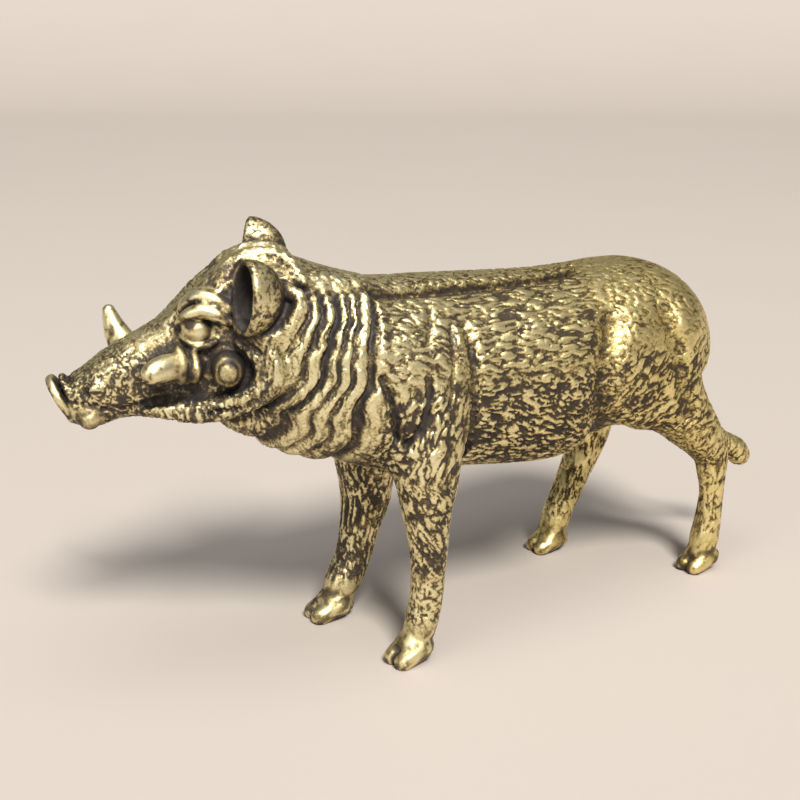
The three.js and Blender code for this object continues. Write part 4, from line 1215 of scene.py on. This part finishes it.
def math_node(tree, operation, first, second, clamp=False):
    made = node(tree, "ShaderNodeMath", operation=operation, use_clamp=clamp)
    for socket, value in zip(made.inputs, (first, second)):
        if isinstance(value, bpy.types.NodeSocket):
            tree.links.new(value, socket)
        else:
            socket.default_value = value
    return made.outputs[0]


def ramp_node(tree, value, stops):
    made = node(tree, "ShaderNodeValToRGB")
    tree.links.new(value, made.inputs["Fac"])
    elements = made.color_ramp.elements
    while len(elements) < len(stops):
        elements.new(0.5)
    for element, (place, colour) in zip(elements, stops):
        element.position = place
        element.color = (*colour, 1.0)
    return made.outputs["Color"]


def new_material(name):
    material = bpy.data.materials.new(name)
    material.use_nodes = True
    tree = material.node_tree
    return material, tree, tree.nodes["Principled BSDF"], node(tree, "ShaderNodeTexCoord")


def swing(tree, place, grain, middle, gain):
    """Noise, and the same about its middle times a gain."""
    value = noise_node(tree, place, *grain).outputs["Fac"]
    return value, math_node(tree, "MULTIPLY", math_node(tree, "SUBTRACT", value, middle), gain)


def golden_rear(tree, place, colour):
    """The colour with a golden tint that grows towards the tail."""
    along = node(tree, "ShaderNodeSeparateXYZ")
    tree.links.new(place.outputs["Object"], along.inputs[0])
    rear = node(tree, "ShaderNodeMapRange")
    rear.inputs["From Min"].default_value = GOLDEN_FROM
    rear.inputs["From Max"].default_value = GOLDEN_TO
    tree.links.new(along.outputs["X"], rear.inputs["Value"])
    tint = node(tree, "ShaderNodeMix", data_type="RGBA", blend_type="MULTIPLY")
    tree.links.new(rear.outputs["Result"], tint.inputs["Factor"])
    tree.links.new(colour, tint.inputs[6])
    tint.inputs[7].default_value = (*GOLDEN, 1.0)
    return tint.outputs[2]


def brass():
    """Aged brass: bright where worn, olive on the slopes and brown-black in the pits, with painted shade
    in hollows and on undersides.
    """
    material, tree, shader, place = new_material("aged_brass")
    pits, closed, polish = (
        node(tree, "ShaderNodeAttribute", attribute_name=name).outputs["Fac"]
        for name in ("pits", "crevice", "polish"))
    speck, speckle = swing(tree, place, SPECK, SPECK_MIDDLE, SPECK_GAIN)
    _, stained = swing(tree, place, STAIN, STAIN_MIDDLE, STAIN_GAIN)
    rough = math_node(tree, "SUBTRACT", 1.0, math_node(tree, "MULTIPLY", polish, POLISH_SHARE))
    spots = math_node(tree, "MULTIPLY", math_node(tree, "ADD", speckle, stained), rough)
    skin_patina_and_shade = math_node(tree, "MULTIPLY", pits, SKIN_SHARE)
    in_hollows = math_node(tree, "MULTIPLY", closed, CREVICE_SHARE)
    # Patina and painted shade, from the skin and from the hollows and undersides
    patina_and_shade = math_node(tree, "ADD", skin_patina_and_shade, in_hollows)
    factor = math_node(tree, "ADD", patina_and_shade, spots, clamp=True)
    colour = golden_rear(tree, place, ramp_node(tree, factor, PATINA_STOPS))
    tree.links.new(colour, shader.inputs["Base Color"])
    tree.links.new(ramp_node(tree, factor, ROUGHNESS_STOPS), shader.inputs["Roughness"])
    tree.links.new(ramp_node(tree, factor, METAL_STOPS), shader.inputs["Metallic"])

    grain = node(tree, "ShaderNodeBump")
    grain.inputs["Strength"].default_value = GRAIN_STRENGTH
    grain.inputs["Distance"].default_value = GRAIN_DEPTH * MM
    tree.links.new(math_node(tree, "MULTIPLY", speck, rough), grain.inputs["Height"])
    tree.links.new(grain.outputs["Normal"], shader.inputs["Normal"])
    return material


def pale_floor():
    """A matt colour with faint clouds in it."""
    material, tree, shader, place = new_material("pale_floor")
    clouds = noise_node(tree, place, *FLOOR_CLOUDS).outputs["Fac"]
    shade = tuple(FLOOR_SHADE * c for c in FLOOR_COLOUR)
    stops = list(zip(FLOOR_CLOUD_SPAN, (shade, FLOOR_COLOUR)))
    tree.links.new(ramp_node(tree, clouds, stops), shader.inputs["Base Color"])
    shader.inputs["Roughness"].default_value = FLOOR_ROUGHNESS
    return material


# Stage

def placed(point, centre):
    return Vector(((point[0] - centre[0]) * MM, (point[1] - centre[1]) * MM, point[2] * MM))


def add_camera(centre):
    data = bpy.data.cameras.new("camera")
    data.sensor_width = SENSOR
    data.lens = FOCAL_PIXELS / IMAGE_WIDTH * SENSOR
    data.clip_start = CLIP_START
    data.clip_end = CLIP_END
    look = Vector((*CAMERA_LOOK, 0.0)).normalized() * math.cos(CAMERA_DOWN)
    look.z = -math.sin(CAMERA_DOWN)
    camera = object_from("camera", data)
    camera.location = placed(CAMERA_PLACE, centre)
    camera.rotation_euler = look.to_track_quat("-Z", "Y").to_euler()
    bpy.context.scene.camera = camera


def add_floor():
    """A pale floor that curves up into a backdrop behind the statue, square to the camera."""
    away = Vector((*CAMERA_LOOK, 0.0)).normalized()
    across = Vector((-away.y, away.x, 0.0))
    profile = [(-FLOOR_FRONT, 0.0), (FLOOR_BACK, 0.0)]
    for step in range(1, COVE_STEPS + 1):
        turn = COVE_TURN * step / COVE_STEPS
        profile.append((FLOOR_BACK + COVE_RADIUS * math.sin(turn), COVE_RADIUS * (1 - math.cos(turn))))
    points = []
    for out, up in profile:
        for side in (-FLOOR_HALF, FLOOR_HALF):
            place = away * out + across * side
            points.append((place.x * MM, place.y * MM, up * MM))
    faces = [(2 * i, 2 * i + 2, 2 * i + 3, 2 * i + 1) for i in range(len(profile) - 1)]
    floor = object_from("floor", new_mesh("floor", np.array(points), np.array(faces)))
    floor.data.materials.append(pale_floor())
    floor.data.shade_smooth()


def add_light(name, kind, towards, **settings):
    """A light that shines from the side it is put on."""
    data = bpy.data.lights.new(name, kind)
    for setting, value in settings.items():
        setattr(data, setting, value)
    light = object_from(name, data)
    light.rotation_euler = towards.to_track_quat("Z", "Y").to_euler()
    return light


def add_panel(name, towards, distance, size, watts):
    way = Vector(towards).normalized()
    light = add_light(name, "AREA", way, shape="DISK", size=size * MM, energy=watts)
    light.location = Vector((0.0, 0.0, PANEL_AIM * MM)) + way * distance * MM


def add_world():
    world = bpy.data.worlds.new("studio")
    world.use_nodes = True
    background = world.node_tree.nodes["Background"]
    background.inputs["Color"].default_value = (*WORLD_COLOUR, 1.0)
    background.inputs["Strength"].default_value = WORLD_STRENGTH
    bpy.context.scene.world = world


piece, CENTRE = statue()
piece.data.materials.append(brass())
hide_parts(NODE)
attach(piece, "root")

add_floor()
add_light("key", "SUN", Vector(KEY_FROM), angle=KEY_ANGLE, energy=KEY_STRENGTH, color=KEY_COLOUR)
for panel in PANELS:
    add_panel(*panel)
add_world()
bpy.context.scene.view_settings.view_transform = "Standard"
add_camera(CENTRE)
